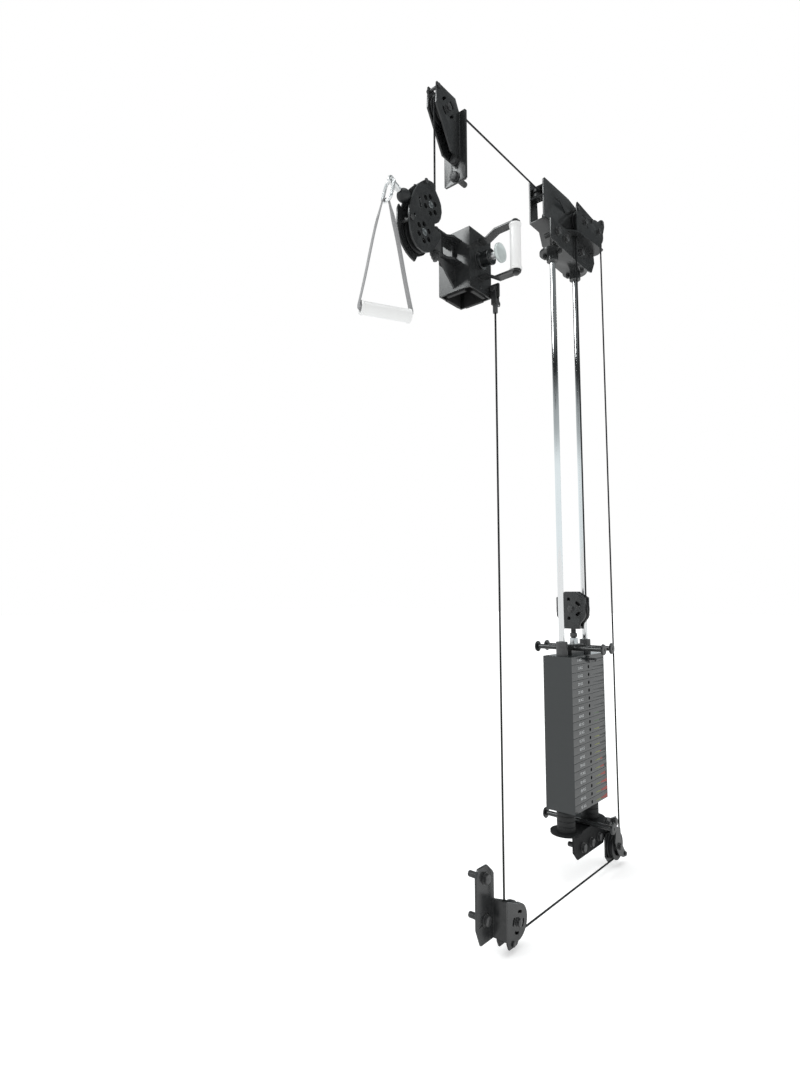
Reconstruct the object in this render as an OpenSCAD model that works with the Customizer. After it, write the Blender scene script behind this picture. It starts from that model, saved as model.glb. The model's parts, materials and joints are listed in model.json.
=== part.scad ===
/* [Stack and guide rods] */
// Distance from the centre to each guide rod
rod_off = 87; // [70:1:110]
// Guide rod diameter
rod_d = 19; // [14:0.5:25]
// Height from the base seat to the underside of the upper crossmember
rod_h = 1947; // [1500:1:2200]
// Number of weight plates below the top plate
plate_count = 18; // [6:1:20]
// Weight plate thickness
plate_t = 25.5; // [15:0.5:32]
// Weight plate width across the rods
plate_w = 100; // [80:1:120]
// Weight plate length along the rods
plate_l = 244; // [230:1:280]
// Cushion height under the stack
cushion_h = 64; // [30:1:100]
// Cushion diameter
cushion_d = 58; // [40:1:64]

/* [Cable and pulleys] */
// Cable diameter
cable_d = 5.5; // [4:0.1:6.5]
// Groove centre radius of the small pulleys
small_r = 40; // [36:0.5:44]
// Flange depth beyond the groove centre
rim_over = 5; // [4:0.5:6]
// Pulley width
pulley_w = 20; // [16:0.5:22]
// Pulley axle diameter
axle_d = 12; // [8:0.5:16]
// Groove centre radius of the floating pulley
float_r = 47.5; // [44:0.5:52]
// Height of the floating pulley above the stack top
float_rise = 152; // [140:1:220]
// Groove centre radius of the upright guide roller
roller_r = 12; // [10:0.5:14]
// Sideways position of the return loop
loop_x = 65.5; // [62:0.5:72]
// Distance of the rear strand behind the stack centre
rear_y = 171; // [150:1:200]
// Distance of the front strand ahead of the stack centre
drop_y = 754; // [740:1:780]

/* [Rack interface] */
// Size of the square uprights and crossmembers
post = 75; // [60:1:80]
// Distance from the stack centre to the front face of the front upright
front_y = 654; // [600:1:700]
// Mounting bolt shank diameter
bolt_d = 16; // [12:0.5:18]
// Bracket plate thickness
plate_s = 5; // [4:0.5:6]
// Height of the upper pulley centres above the upper crossmember
head_rise = 66.4; // [60:0.1:90]
// Length of each mounting bolt inside the rack
stud_l = 45; // [30:1:70]

/* [Trolley] */
// Slider pad thickness
pad_t = 9.7; // [6:0.1:12]
// Sleeve wall
sleeve_t = 5; // [4:0.5:6]
// Sleeve height
sleeve_h = 170; // [150:1:220]
// Height of the sleeve bottom
sleeve_z = 1583; // [900:1:1650]
// Trolley grip diameter
grip_d = 29; // [25:0.5:35]
// Knob diameter
knob_d = 53; // [40:1:62]
// Swivel bolt diameter
swivel_d = 12; // [10:0.5:14]
// Ball stop diameter
ball_d = 35; // [28:0.5:38]
// Handle grip length
handle_l = 127; // [110:1:150]
// Strap length from the carabiner to the axis of the grip
strap_l = 280; // [220:5:360]
// Handle grip diameter
handle_d = 32; // [26:0.5:36]

/* [Hidden] */
$fn = 96;
e = 0.02;
half = post / 2;
slide_gap = 0.3;
sleeve_w = post + 2 * (slide_gap + pad_t + sleeve_t);
seat_z = 8;
stack_z = seat_z + cushion_h;
top_z = stack_z + plate_count * plate_t;
head_top = top_z + plate_t;
float_z = head_top + float_rise;
beam_top = rod_h + post;
head_z = beam_top + head_rise;
head_low = head_z - 182.4;
hub_w = pulley_w + 4;
gap = hub_w / 2;
cheek_o = gap + plate_s;
small_od = 2 * (small_r + rim_over);
groove_r = cable_d / 2 + 0.95;
cab_z = head_z + small_r;
low_z = -83;
strand_x = float_r;
tilt_o = atan((loop_x - strand_x) / rear_y);
span_o = rear_y / cos(tilt_o);
bend_y = 157;
tilt_i = atan(strand_x / bend_y);
roll_y = -bend_y - roller_r * tan(tilt_i / 2);
clevis_y = drop_y - 188.7;
clevis_l = 45;
foot_y = clevis_y - small_r;
up_y = -(drop_y + small_r);
up_z = sleeve_z + 183;
lo_y = up_y - 26.5;
lo_z = sleeve_z + 96;
sw_y = -drop_y;
ball_y = sw_y - 128;
ball_z = sleeve_z + 172;
grip_x = half + 125.5;
base_bolts = [-60, 0, 60];
base_bolt_z = -42;
saddle_bolts = [-128, -68, 52];
foot_bolts = [-58, 42];
rear_foot_bolts = [-35, 15];
rear_foot_bolt_z = -26;
shoulder = 0.25;
exit_a = 19.7;
// Keeper positions along the outer cheek, as distance and height
keepers = [[-6, 30], [86, 22], [span_o - 13, 45]];
eye_y = ball_y - 50 * cos(exit_a);
eye_z = ball_z + 50 * sin(exit_a);
hook_tilt = -16;
hook_top = -1.3;
hook_low = hook_top - 66;
strap_y = eye_y - hook_low * sin(hook_tilt);
strap_z = eye_z + hook_low * cos(hook_tilt);
grip_z = strap_z - strap_l;
post_y = -(front_y - half);
pin_z = sleeve_z + 91;
black = [0.06, 0.062, 0.066];
steel = [0.62, 0.63, 0.65];
pale = [0.86, 0.86, 0.85];

// Extrudes an outline given in Y and Z from x0 to x1
module yz(x0, x1, pts) {
  translate([x0, 0, 0])
    rotate([90, 0, 90])
      linear_extrude(x1 - x0)
        polygon(pts);
}

// Extrudes an outline given in X and Z from y0 to y1
module xz(y0, y1, pts) {
  translate([0, y1, 0])
    rotate([90, 0, 0])
      linear_extrude(y1 - y0)
        polygon(pts);
}

module bx(x0, x1, y0, y1, z0, z1) {
  translate([x0, y0, z0])
    cube([x1 - x0, y1 - y0, z1 - z0]);
}

module cx(x0, x1, y, z, r) {
  translate([x0, y, z])
    rotate([0, 90, 0])
      cylinder(r = r, h = x1 - x0);
}

module cy(x, y0, y1, z, r) {
  translate([x, y0, z])
    rotate([-90, 0, 0])
      cylinder(r = r, h = y1 - y0);
}

module cz(x, y, z0, z1, r) {
  translate([x, y, z0])
    cylinder(r = r, h = z1 - z0);
}

module hex_x(x0, x1, y, z, r) {
  translate([x0, y, z])
    rotate([0, 90, 0])
      cylinder(r = r, h = x1 - x0, $fn = 6);
}

module hex_y(x, y0, y1, z, r) {
  translate([x, y0, z])
    rotate([-90, 0, 0])
      rotate([0, 0, 30])
        cylinder(r = r, h = y1 - y0, $fn = 6);
}

// Grooved wheel on the X axis through the origin
module wheel(r, w, over, hub, bore) {
  rotate([0, 90, 0])
    difference() {
      rotate_extrude()
        difference() {
          union() {
            polygon([
              [bore, -hub / 2], [bore + 6, -hub / 2], [bore + 7, -w / 2 + 4],
              [r - 12, -w / 2 + 4], [r - 10, -w / 2], [r + over, -w / 2],
              [r + over, -w / 2 + 3], [r, -groove_r], [r, groove_r],
              [r + over, w / 2 - 3], [r + over, w / 2], [r - 10, w / 2],
              [r - 12, w / 2 - 4], [bore + 7, w / 2 - 4], [bore + 6, hub / 2],
              [bore, hub / 2]
            ]);
          }
          translate([r, 0])
            circle(r = groove_r);
        }
      for (a = [30:60:330])
        rotate([0, 0, a])
          translate([(bore + r - 3) / 2, 0, -w])
            cylinder(r = 4.6, h = 2 * w);
    }
}

// Bolt along X with a head on the plus side and a nut on the minus side
module axle_bolt(x0, x1, r) {
  cx(x0 - 9, x1 + 1, 0, 0, r);
  hex_x(x1, x1 + 7, 0, 0, r * 1.75);
  hex_x(x0 - 7, x0, 0, 0, r * 1.75);
}

// Round tube through hand placed route points
function ringpts(p, t, up, r, n) =
  let (s = cross(up, t))
  let (q = s / norm(s))
  let (v = cross(t, q))
  [for (i = [0:n - 1]) p + r * cos(360 * i / n) * q + r * sin(360 * i / n) * v];

module tube(pts, tans, up, r, n) {
  m = len(pts);
  vs = [for (k = [0:m - 1]) each ringpts(pts[k], tans[k] / norm(tans[k]), up, r, n)];
  fs = concat(
    [[for (i = [0:n - 1]) i]],
    [[for (i = [n - 1:-1:0]) (m - 1) * n + i]],
    [for (k = [0:m - 2]) for (i = [0:n - 1])
      [k * n + i, (k + 1) * n + i, (k + 1) * n + (i + 1) % n, k * n + (i + 1) % n]]
  );
  polyhedron(points = vs, faces = fs, convexity = 8);
}

module base_bracket() {
  color(black)
    difference() {
      union() {
        for (s = [-1, 1])
          cz(0, s * rod_off, 0, seat_z, 50);
        bx(-half, half + plate_s, -rod_off, rod_off, 0, seat_z);
        yz(half, half + plate_s, [
          [-124, seat_z], [112, seat_z], [112, -48], [92, -70], [-96, -70], [-124, -42]
        ]);
      }
      for (s = [-1, 1])
        cz(0, s * rod_off, -1, seat_z + 1, rod_d / 2 + e);
      for (y = base_bolts)
        cx(half - 1, half + plate_s + 1, y, base_bolt_z, bolt_d / 2 + 0.3);
    }
}

module stack_cushions() {
  color([0.16, 0.16, 0.17])
    for (s = [-1, 1])
      translate([0, s * rod_off, seat_z])
        difference() {
          union() {
            cylinder(r = cushion_d / 2, h = cushion_h - 6);
            translate([0, 0, cushion_h - 6])
              cylinder(r1 = cushion_d / 2, r2 = cushion_d / 2 - 3, h = 6);
          }
          translate([0, 0, -1])
            cylinder(r = rod_d / 2 + 0.3, h = cushion_h + 2);
          for (z = [16, 32, 48])
            translate([0, 0, z])
              rotate_extrude()
                translate([cushion_d / 2, 0])
                  circle(r = 1.6, $fn = 24);
        }
}

// Band bar along X with a disc on each end
module band_bar(z) {
  cx(-117, 117, 0, z, 8);
  for (s = [-1, 1])
    translate([s * 119, 0, z])
      rotate([0, s * 90, 0])
        translate([0, 0, -4])
          cylinder(r1 = 16, r2 = 14, h = 6);
}

module base_band_bar() {
  color(black)
    band_bar(seat_z + 8);
}

module guide_rod(s) {
  color(steel)
    translate([0, s * rod_off, 0]) {
      cylinder(r = rod_d / 2, h = rod_h - 1);
      translate([0, 0, rod_h - 1])
        cylinder(r1 = rod_d / 2, r2 = rod_d / 2 - 1, h = 1);
    }
}

module guide_rod_front() {
  guide_rod(-1);
}

module guide_rod_rear() {
  guide_rod(1);
}

// Collars at the rod tops, each with its own set screw
module rod_sockets() {
  color(steel)
    for (s = [-1, 1])
      translate([0, s * rod_off, rod_h - seat_z - 28]) {
        difference() {
          cylinder(r = 19.5, h = 28);
          translate([0, 0, -1])
            cylinder(r = rod_d / 2 + e, h = 30);
          translate([0, 0, 14])
            rotate([0, 90, 0])
              cylinder(r = 4, h = 30);
        }
        translate([0, 0, 14])
          rotate([0, 90, 0])
            difference() {
              translate([0, 0, rod_d / 2 + 0.1])
                cylinder(r = 3.95, h = 20.5 - rod_d / 2);
              translate([0, 0, 18])
                cylinder(r = 2.2, h = 4, $fn = 6);
            }
      }
}

module top_saddle() {
  color(black)
    difference() {
      union() {
        for (s = [-1, 1])
          cz(0, s * rod_off, rod_h - seat_z, rod_h, 44);
        bx(-half, half + plate_s, -rod_off, rod_off, rod_h - seat_z, rod_h);
        yz(half, half + plate_s, [
          [-174, rod_h + 1], [-170, rod_h - 3], [-132, rod_h - 3], [-127, rod_h - seat_z],
          [100, rod_h - seat_z], [140, rod_h], [165, rod_h + 45], [160, beam_top],
          [-168, beam_top], [-174, beam_top - 6]
        ]);
      }
      for (s = [-1, 1])
        cz(0, s * rod_off, rod_h - seat_z - 1, rod_h + 1, rod_d / 2 + e);
      for (y = saddle_bolts)
        cx(half - 1, half + plate_s + 1, y, rod_h + 40, bolt_d / 2 + 0.3);
    }
}

// Frame of the outer return pulleys, local Y runs along the cable
module outer_frame() {
  translate([strand_x, 0, 0])
    rotate([0, 0, -tilt_o])
      children();
}

// Frame of the inner drop pulley, local Y runs along the cable
module inner_frame() {
  translate([-strand_x, 0, 0])
    rotate([0, 0, tilt_i])
      children();
}

module crossover_bracket() {
  color(black)
    difference() {
      union() {
        // floor plate on the crossmember
        translate([0, 0, beam_top])
          linear_extrude(plate_s)
            difference() {
              polygon([
                [-half, -176], [22, -176], [40, -60], [strand_x + 24.5, -20],
                [loop_x + 18.5, rear_y - 21], [loop_x - 9.5, rear_y - 3], [loop_x - 35.5, rear_y - 3],
                [-half, 60],
                [-strand_x - 26.5, 20], [-strand_x - 26.5, -20], [-half, -110]
              ]);
              translate([strand_x, 0])
                rotate(-tilt_o)
                  translate([-6, -8])
                    square([12, 16]);
              translate([-strand_x, 0])
                rotate(tilt_i)
                  translate([-6, -10])
                    square([12, 20]);
            }
        // tall middle cheek
        outer_frame()
          difference() {
            yz(-cheek_o, -gap, [
              [-176, beam_top + 1], [span_o - 4, beam_top + 1],
              [span_o - 4, beam_top + 72], [span_o - 14, beam_top + 86],
              [20, beam_top + 127], [-21, beam_top + 139], [-168, beam_top + 152],
              [-176, beam_top + 144]
            ]);
            yz(-gap - 2.6, -gap + 1, [
              [-116, beam_top + 74], [-40, beam_top + 74], [-72, beam_top + 104],
              [-100, beam_top + 104]
            ]);
          }
        // inner cheek beside the guide roller
        yz(-half, -half + plate_s, [
          [-176, beam_top + 1], [-122, beam_top + 1],
          [-128, beam_top + 118], [-150, beam_top + 156], [-172, beam_top + 156],
          [-176, beam_top + 150]
        ]);
        // shelves above and below the guide roller
        for (z = [cab_z - 15 - plate_s - 0.5, cab_z + 15 + 0.5])
          translate([0, 0, z])
            linear_extrude(plate_s)
              polygon([
                [-half + plate_s, -174], [15.5, -174], [18.5, -143], [-half + plate_s, -143]
              ]);
        // cheeks of the inner drop pulley
        inner_frame()
          for (s = [-1, 1])
            yz(s > 0 ? gap : -cheek_o, s > 0 ? cheek_o : -gap, [
              [s > 0 ? -92 : -30, beam_top + 1], [4, beam_top + 1],
              [4, head_z + 12], [-20, head_z + 30],
              [-60, head_z + 30], [-78, head_z + 12], [s > 0 ? -92 : -70, head_z - 30]
            ]);
      }
      cz(-roller_r, roll_y, beam_top + plate_s + 1, beam_top + 200, 4 + 0.2);
      outer_frame()
        for (y = [small_r, span_o - small_r])
          translate([-cheek_o - 1, y, head_z])
            rotate([0, 90, 0])
              cylinder(r = axle_d / 2 + 0.2, h = plate_s + 2);
      outer_frame()
        for (k = [0, 1])
          translate([-cheek_o - 1, keepers[k][0], head_z + keepers[k][1]])
            rotate([0, 90, 0])
              cylinder(r = 4.2, h = plate_s + 2);
      inner_frame()
        translate([-cheek_o - 1, -small_r, head_z])
          rotate([0, 90, 0])
            cylinder(r = axle_d / 2 + 0.2, h = 2 * cheek_o + 2);
    }
}

module crossover_outer_cheek() {
  color(black)
    outer_frame()
      difference() {
        union() {
          yz(gap, cheek_o, [
            [-14, beam_top + plate_s + e], [span_o - 22, beam_top + plate_s + e],
            [span_o - 20, head_z - 20], [span_o - 6, head_z + 10], [span_o + 2, head_z + 34],
            [span_o, head_z + 50], [span_o - 10, head_z + 57], [span_o - 24, head_z + 52],
            [span_o - 44, head_z + 36], [104, head_z + 29], [-10, head_z + 54],
            [-16, head_z + 30], [-18, head_z - 20]
          ]);
        }
        for (y = [small_r, span_o - small_r])
          translate([gap - 1, y, head_z])
            rotate([0, 90, 0])
              cylinder(r = axle_d / 2 + 0.2, h = plate_s + 2);
        for (a = [45:90:315])
          translate([gap - 1, small_r + 22 * cos(a), head_z + 22 * sin(a)])
            rotate([0, 90, 0])
              cylinder(r = 4, h = plate_s + 2);
        for (k = keepers)
          translate([gap - 1, k[0], head_z + k[1]])
            rotate([0, 90, 0])
              cylinder(r = 4.2, h = plate_s + 2);
      }
}

module head_bracket() {
  color(black)
    difference() {
      union() {
        bx(-half + 3, half - 3, -front_y - 6, -front_y, head_low - 3, head_z + 21.6);
        bx(-half, half, -front_y - 6, -front_y, head_low, head_z + 18.6);
        for (s = [-1, 1])
          yz(s > 0 ? gap : -cheek_o, s > 0 ? cheek_o : -gap, [
            [-front_y - 5, head_z - 118], [-front_y - 46, head_z - 118],
            [-front_y - 112, head_z - 14], [-front_y - 109, head_z + 48],
            [-front_y - 25, head_z + 49], [-front_y - 5, head_z + 14]
          ]);
      }
      for (z = [head_z - 166.4, head_z - 116.4])
        cy(0, -front_y - 7, -front_y + 1, z, bolt_d / 2 + 0.3);
      cx(-30, 30, -drop_y + small_r, head_z, axle_d / 2 + 0.2);
      cx(-30, 30, -drop_y - 2, head_z + 38, 4.2);
      for (a = [0:90:270])
        translate([-30, -drop_y + small_r, head_z])
          rotate([a + 45, 0, 0])
            rotate([0, 90, 0])
              translate([0, 0, 0])
                for (b = [-16, -8, 0, 8, 16])
                  rotate([0, 0, b])
                    translate([25, 0, 0])
                      cylinder(r = 4, h = 60, $fn = 24);
    }
}

module foot_bracket() {
  color(black)
    difference() {
      union() {
        // flat plate on the upright
        yz(half, half + 6, [
          [-front_y - 2, -70], [-front_y + 16, -112], [-front_y + 77, -112],
          [-front_y + 77, 44], [-front_y + 70, 53], [-front_y + 47, 73],
          [-front_y + 8, 73], [-front_y - 2, 52]
        ]);
        // flange that carries the covers
        bx(half + 5, loop_x + cheek_o, -front_y + 71, -front_y + 77, -112, -17);
      }
      for (z = foot_bolts)
        cx(half - 1, half + 7, post_y, z, bolt_d / 2 + 0.3);
    }
}

module foot_covers() {
  color(black)
    for (s = [-1, 1])
      difference() {
        union() {
          yz(s > 0 ? loop_x + gap : loop_x - cheek_o, s > 0 ? loop_x + cheek_o : loop_x - gap, [
            [-front_y + 77, -120], [-front_y + 84, -135], [-foot_y - 8, -135],
            [-foot_y, -127.5], [-foot_y, -38.5], [-front_y + 77, -17]
          ]);
          cx(s > 0 ? loop_x + gap : loop_x - cheek_o, s > 0 ? loop_x + cheek_o : loop_x - gap,
            -foot_y, low_z, 44.5);
        }
        cx(loop_x - 30, loop_x + 30, -foot_y, low_z, axle_d / 2 + 0.2);
        cx(loop_x - 30, loop_x + 30, -foot_y - 25.7, low_z - 43.6, 4.2);
        for (a = [70, 160, 250, 340])
          for (b = [-15, -7, 0, 7, 15])
            cx(loop_x - 30, loop_x + 30, -foot_y + 25 * cos(a + b), low_z + 25 * sin(a + b), 3.6);
      }
}

module rear_foot_bracket() {
  keep_y = rear_y + 5;
  keep_z = low_z - 36;
  color(black)
    difference() {
      union() {
        yz(half, half + plate_s, [
          [rear_y - 56, -64], [rear_y - 50, -70], [rear_y + 30, -70], [rear_y + 36, -64],
          [rear_y + 36, -14], [rear_y - 2, -10], [rear_y - 30, -1], [rear_y - 43, -1],
          [rear_y - 48, -9], [rear_y - 56, -15]
        ]);
        // inner cheek
        yz(loop_x - cheek_o, loop_x - gap, [
          [rear_y - 74, low_z + 40], [rear_y - 86, low_z + 26], [rear_y - 86, low_z - 30],
          [rear_y - 66, low_z - 50], [rear_y + 6, low_z - 50], [rear_y + 14, low_z - 40],
          [rear_y + 14, low_z + 40]
        ]);
        bx(half + plate_s - 1, loop_x - gap, rear_y + 13, rear_y + 19, low_z - 40, low_z + 40);
        // outer leg, held by the axle and the keeper
        yz(loop_x + gap, loop_x + cheek_o, [
          [rear_y - 63, low_z + 69], [rear_y - 74, low_z + 21], [rear_y - 61, low_z - 7],
          [rear_y - 44, low_z - 28], [rear_y - 12, low_z - 43], [rear_y + 9, low_z - 46],
          [rear_y + 18, low_z - 38], [rear_y - 3, low_z - 18], [rear_y - 19, low_z + 4],
          [rear_y - 25, low_z + 30], [rear_y - 30, low_z + 59]
        ]);
      }
      cx(loop_x - 30, loop_x + 30, rear_y - small_r, low_z, axle_d / 2 + 0.2);
      cx(loop_x - 30, loop_x + 30, keep_y, keep_z, 4.2);
      for (y = rear_foot_bolts)
        cx(half - 1, half + plate_s + 1, rear_y + y, rear_foot_bolt_z, bolt_d / 2 + 0.3);
    }
}

// Hex bolt from outside a plate at x into the rack, head on the plus side
module rack_bolt_x(x, y, z) {
  hex_x(x, x + 10, y, z, 13);
  cx(half, x + 1, y, z, bolt_d / 2 + shoulder);
  cx(half - stud_l, half + 1, y, z, bolt_d / 2);
}

module mounting_bolts() {
  color(black) {
    for (y = base_bolts)
      rack_bolt_x(half + plate_s, y, base_bolt_z);
    for (y = saddle_bolts)
      rack_bolt_x(half + plate_s, y, rod_h + 40);
    for (z = foot_bolts)
      rack_bolt_x(half + 6, post_y, z);
    for (y = rear_foot_bolts)
      rack_bolt_x(half + plate_s, rear_y + y, rear_foot_bolt_z);
    for (z = [head_z - 166.4, head_z - 116.4]) {
      hex_y(0, -front_y - 16, -front_y - 6, z, 12.9);
      cy(0, -front_y - 7, -front_y, z, bolt_d / 2 + shoulder);
      cy(0, -front_y - 1, -front_y + stud_l, z, bolt_d / 2);
    }
  }
}

module pulley_axles() {
  color([0.12, 0.12, 0.13]) {
    cz(-roller_r, roll_y, cab_z - 15 - plate_s - 3, cab_z + 15 + plate_s + 3, 4);
    for (z = [cab_z - 15.5 - plate_s - 4, cab_z + 15.5 + plate_s])
      translate([-roller_r, roll_y, z])
        cylinder(r = 7, h = 4, $fn = 6);
    translate([0, -drop_y + small_r, head_z])
      axle_bolt(-cheek_o, cheek_o, axle_d / 2);
    outer_frame()
      for (y = [small_r, span_o - small_r])
        translate([0, y, head_z])
          axle_bolt(-cheek_o, cheek_o, axle_d / 2);
    inner_frame()
      translate([0, -small_r, head_z])
        axle_bolt(-cheek_o, cheek_o, axle_d / 2);
    translate([loop_x, -foot_y, low_z])
      axle_bolt(-cheek_o, cheek_o, axle_d / 2);
    translate([loop_x, rear_y - small_r, low_z])
      axle_bolt(-cheek_o, cheek_o, axle_d / 2);
  }
}

// Keeper pin along X with a thicker middle between the cheeks
module keeper(x0, x1, r) {
  cx(x0, x1, 0, 0, r);
  cx(x0 - cheek_o + gap - 3, x1 + cheek_o - gap + 3, 0, 0, 4);
  hex_x(x1 + plate_s, x1 + plate_s + 4, 0, 0, 7);
  hex_x(x0 - plate_s - 4, x0 - plate_s, 0, 0, 7);
}

module keeper_bolts() {
  color([0.12, 0.12, 0.13]) {
    outer_frame() {
      for (k = [0, 1])
        translate([0, keepers[k][0], head_z + keepers[k][1]])
          keeper(-gap, gap, 4.5);
      translate([0, keepers[2][0], head_z + keepers[2][1]]) {
        cx(-9, gap, 0, 0, 4.5);
        cx(gap - 1, cheek_o + 1, 0, 0, 4);
        hex_x(cheek_o, cheek_o + 4, 0, 0, 7);
      }
    }
    translate([0, -drop_y - 2, head_z + 38])
      keeper(-gap, gap, 4.5);
    translate([loop_x, -foot_y - 25.7, low_z - 43.6])
      keeper(-gap, gap, 4.5);
    translate([loop_x, rear_y + 5, low_z - 36])
      keeper(-gap, gap, 4.5);
  }
}

module guide_roller() {
  color(black)
    translate([-roller_r, roll_y, cab_z])
      difference() {
        cylinder(r = roller_r + 5, h = 30, center = true);
        cylinder(r = 4.05, h = 32, center = true);
        rotate_extrude()
          translate([roller_r, 0])
            circle(r = groove_r - 0.5);
        difference() {
          cylinder(r = roller_r + 6, h = 8, center = true);
          cylinder(r = roller_r, h = 9, center = true);
        }
      }
}

module small_wheel() {
  color([0.09, 0.092, 0.096])
    wheel(small_r, pulley_w, rim_over, hub_w - 0.6, axle_d / 2 + 0.05);
}

module head_pulley() {
  translate([0, -drop_y + small_r, head_z])
    small_wheel();
}

module inner_drop_pulley() {
  inner_frame()
    translate([0, -small_r, head_z])
      small_wheel();
}

module outer_front_pulley() {
  outer_frame()
    translate([0, small_r, head_z])
      small_wheel();
}

module outer_rear_pulley() {
  outer_frame()
    translate([0, span_o - small_r, head_z])
      small_wheel();
}

module foot_pulley() {
  translate([loop_x, -foot_y, low_z])
    small_wheel();
}

module rear_foot_pulley() {
  translate([loop_x, rear_y - small_r, low_z])
    small_wheel();
}

module trolley_sleeve() {
  color(black)
    difference() {
      union() {
        bx(-sleeve_w / 2, sleeve_w / 2, post_y - sleeve_w / 2, post_y + sleeve_w / 2,
          sleeve_z, sleeve_z + sleeve_h);
        // ear for the cable end
        bx(sleeve_w / 2 - 1, loop_x + 13, -clevis_y - 4, -clevis_y + 4, sleeve_z, sleeve_z + 38);
      }
      bx(-sleeve_w / 2 + sleeve_t, sleeve_w / 2 - sleeve_t, post_y - sleeve_w / 2 + sleeve_t,
        post_y + sleeve_w / 2 - sleeve_t, sleeve_z - 1, sleeve_z + sleeve_h + 1);
      cx(sleeve_w / 2 - sleeve_t - 1, sleeve_w / 2 + 1, post_y, pin_z, 9.4);
      cy(loop_x, -clevis_y - 5, -clevis_y + 5, sleeve_z + 22, 5.1);
    }
}

module slider_pads() {
  color([0.05, 0.05, 0.055])
    translate([0, post_y, sleeve_z])
      for (a = [0:90:270])
        rotate([0, 0, a])
          difference() {
            bx(half + slide_gap, half + slide_gap + pad_t, -30, 30, -5, sleeve_h + 3);
            if (a == 0)
              cx(half - 1, sleeve_w / 2, 0, pin_z - sleeve_z, 9.4);
          }
}

module swivel_bracket() {
  color(black)
    difference() {
      union() {
        for (z = [70, 132])
          translate([0, 0, sleeve_z + z])
            linear_extrude(6)
              union() {
                translate([0, sw_y])
                  circle(r = 14);
                polygon([
                  [-14, sw_y], [14, sw_y], [14, sw_y + 34], [26, sw_y + 50],
                  [26, post_y - sleeve_w / 2], [-26, post_y - sleeve_w / 2],
                  [-26, sw_y + 50], [-14, sw_y + 34]
                ]);
              }
        // web between the two plates and gusset below
        difference() {
          bx(-3, 3, sw_y + 22, post_y - sleeve_w / 2, sleeve_z + 75, sleeve_z + 133);
          bx(-4, 4, sw_y + 32, post_y - sleeve_w / 2 - 12, sleeve_z + 84, sleeve_z + 124);
        }
        yz(-3, 3, [
          [post_y - sleeve_w / 2, sleeve_z + 71], [sw_y + 15, sleeve_z + 71],
          [sw_y + 40, sleeve_z + 44], [post_y - sleeve_w / 2, sleeve_z + 8]
        ]);
      }
      cz(0, sw_y, sleeve_z + 60, sleeve_z + 150, swivel_d / 2 + 0.2);
    }
}

module pop_pin_housing() {
  color(black)
    difference() {
      union() {
        cx(sleeve_w / 2, sleeve_w / 2 + 7, post_y, pin_z, 25);
        cx(sleeve_w / 2, sleeve_w / 2 + 37, post_y, pin_z, 21);
      }
      cx(sleeve_w / 2 - 1, sleeve_w / 2 + 38, post_y, pin_z, 9.05);
    }
}

module pop_pin() {
  color(steel) {
    cx(half - 19.5, sleeve_w / 2 + 54, post_y, pin_z, 9);
    translate([half - 21.5, post_y, pin_z])
      rotate([0, 90, 0])
        cylinder(r1 = 6.5, r2 = 9, h = 2.5);
    translate([sleeve_w / 2 + 53, post_y, pin_z])
      rotate([0, 90, 0])
        difference() {
          union() {
            cylinder(r1 = 16, r2 = knob_d / 2, h = 7);
            translate([0, 0, 7])
              cylinder(r = knob_d / 2, h = 6);
            translate([0, 0, 13])
              cylinder(r1 = knob_d / 2, r2 = knob_d / 2 - 2, h = 2);
          }
          translate([0, 0, 11])
            cylinder(r1 = 14, r2 = 22, h = 6);
        }
  }
}

// Cranked flat bar from the sleeve to the grip
module handle_bar(z0, z1) {
  difference() {
    union() {
      xz(post_y - 14, post_y + 14, [
        [sleeve_w / 2, z0 - 3], [sleeve_w / 2 + 26, z0 - 3], [sleeve_w / 2 + 54, z1 - 3],
        [grip_x, z1 - 3], [grip_x, z1 + 3], [sleeve_w / 2 + 53, z1 + 3],
        [sleeve_w / 2 + 25, z0 + 3], [sleeve_w / 2, z0 + 3]
      ]);
      cz(grip_x, post_y, z1 - 3, z1 + 3, 14);
    }
    cz(grip_x, post_y, z1 - 5, z1 + 5, 5.2);
  }
}

module handle_arms() {
  color(black) {
    handle_bar(sleeve_z + 143, sleeve_z + 157);
    handle_bar(sleeve_z + 40, sleeve_z + 22);
  }
}

module trolley_grip() {
  color(pale)
    difference() {
      union() {
        cz(grip_x, post_y, sleeve_z + 25, sleeve_z + 154, grip_d / 2);
        for (z = [25, 148])
          cz(grip_x, post_y, sleeve_z + z, sleeve_z + z + 6, grip_d / 2 + 2);
      }
      cz(grip_x, post_y, sleeve_z + 20, sleeve_z + 160, 5.2);
    }
}

module trolley_bolts() {
  color([0.4, 0.4, 0.41]) {
    cz(0, sw_y, sleeve_z + 52, sleeve_z + 139, swivel_d / 2);
    translate([0, sw_y, sleeve_z + 138])
      cylinder(r = 10, h = 7, $fn = 6);
    translate([0, sw_y, sleeve_z + 59])
      cylinder(r = 10.4, h = 11, $fn = 6);
    cz(grip_x, post_y, sleeve_z + 12, sleeve_z + 60, 5);
    translate([grip_x, post_y, sleeve_z + 13])
      cylinder(r = 9, h = 6, $fn = 6);
    cz(grip_x, post_y, sleeve_z + 120, sleeve_z + 167, 5);
    translate([grip_x, post_y, sleeve_z + 160])
      cylinder(r = 9, h = 6, $fn = 6);
  }
}

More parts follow.
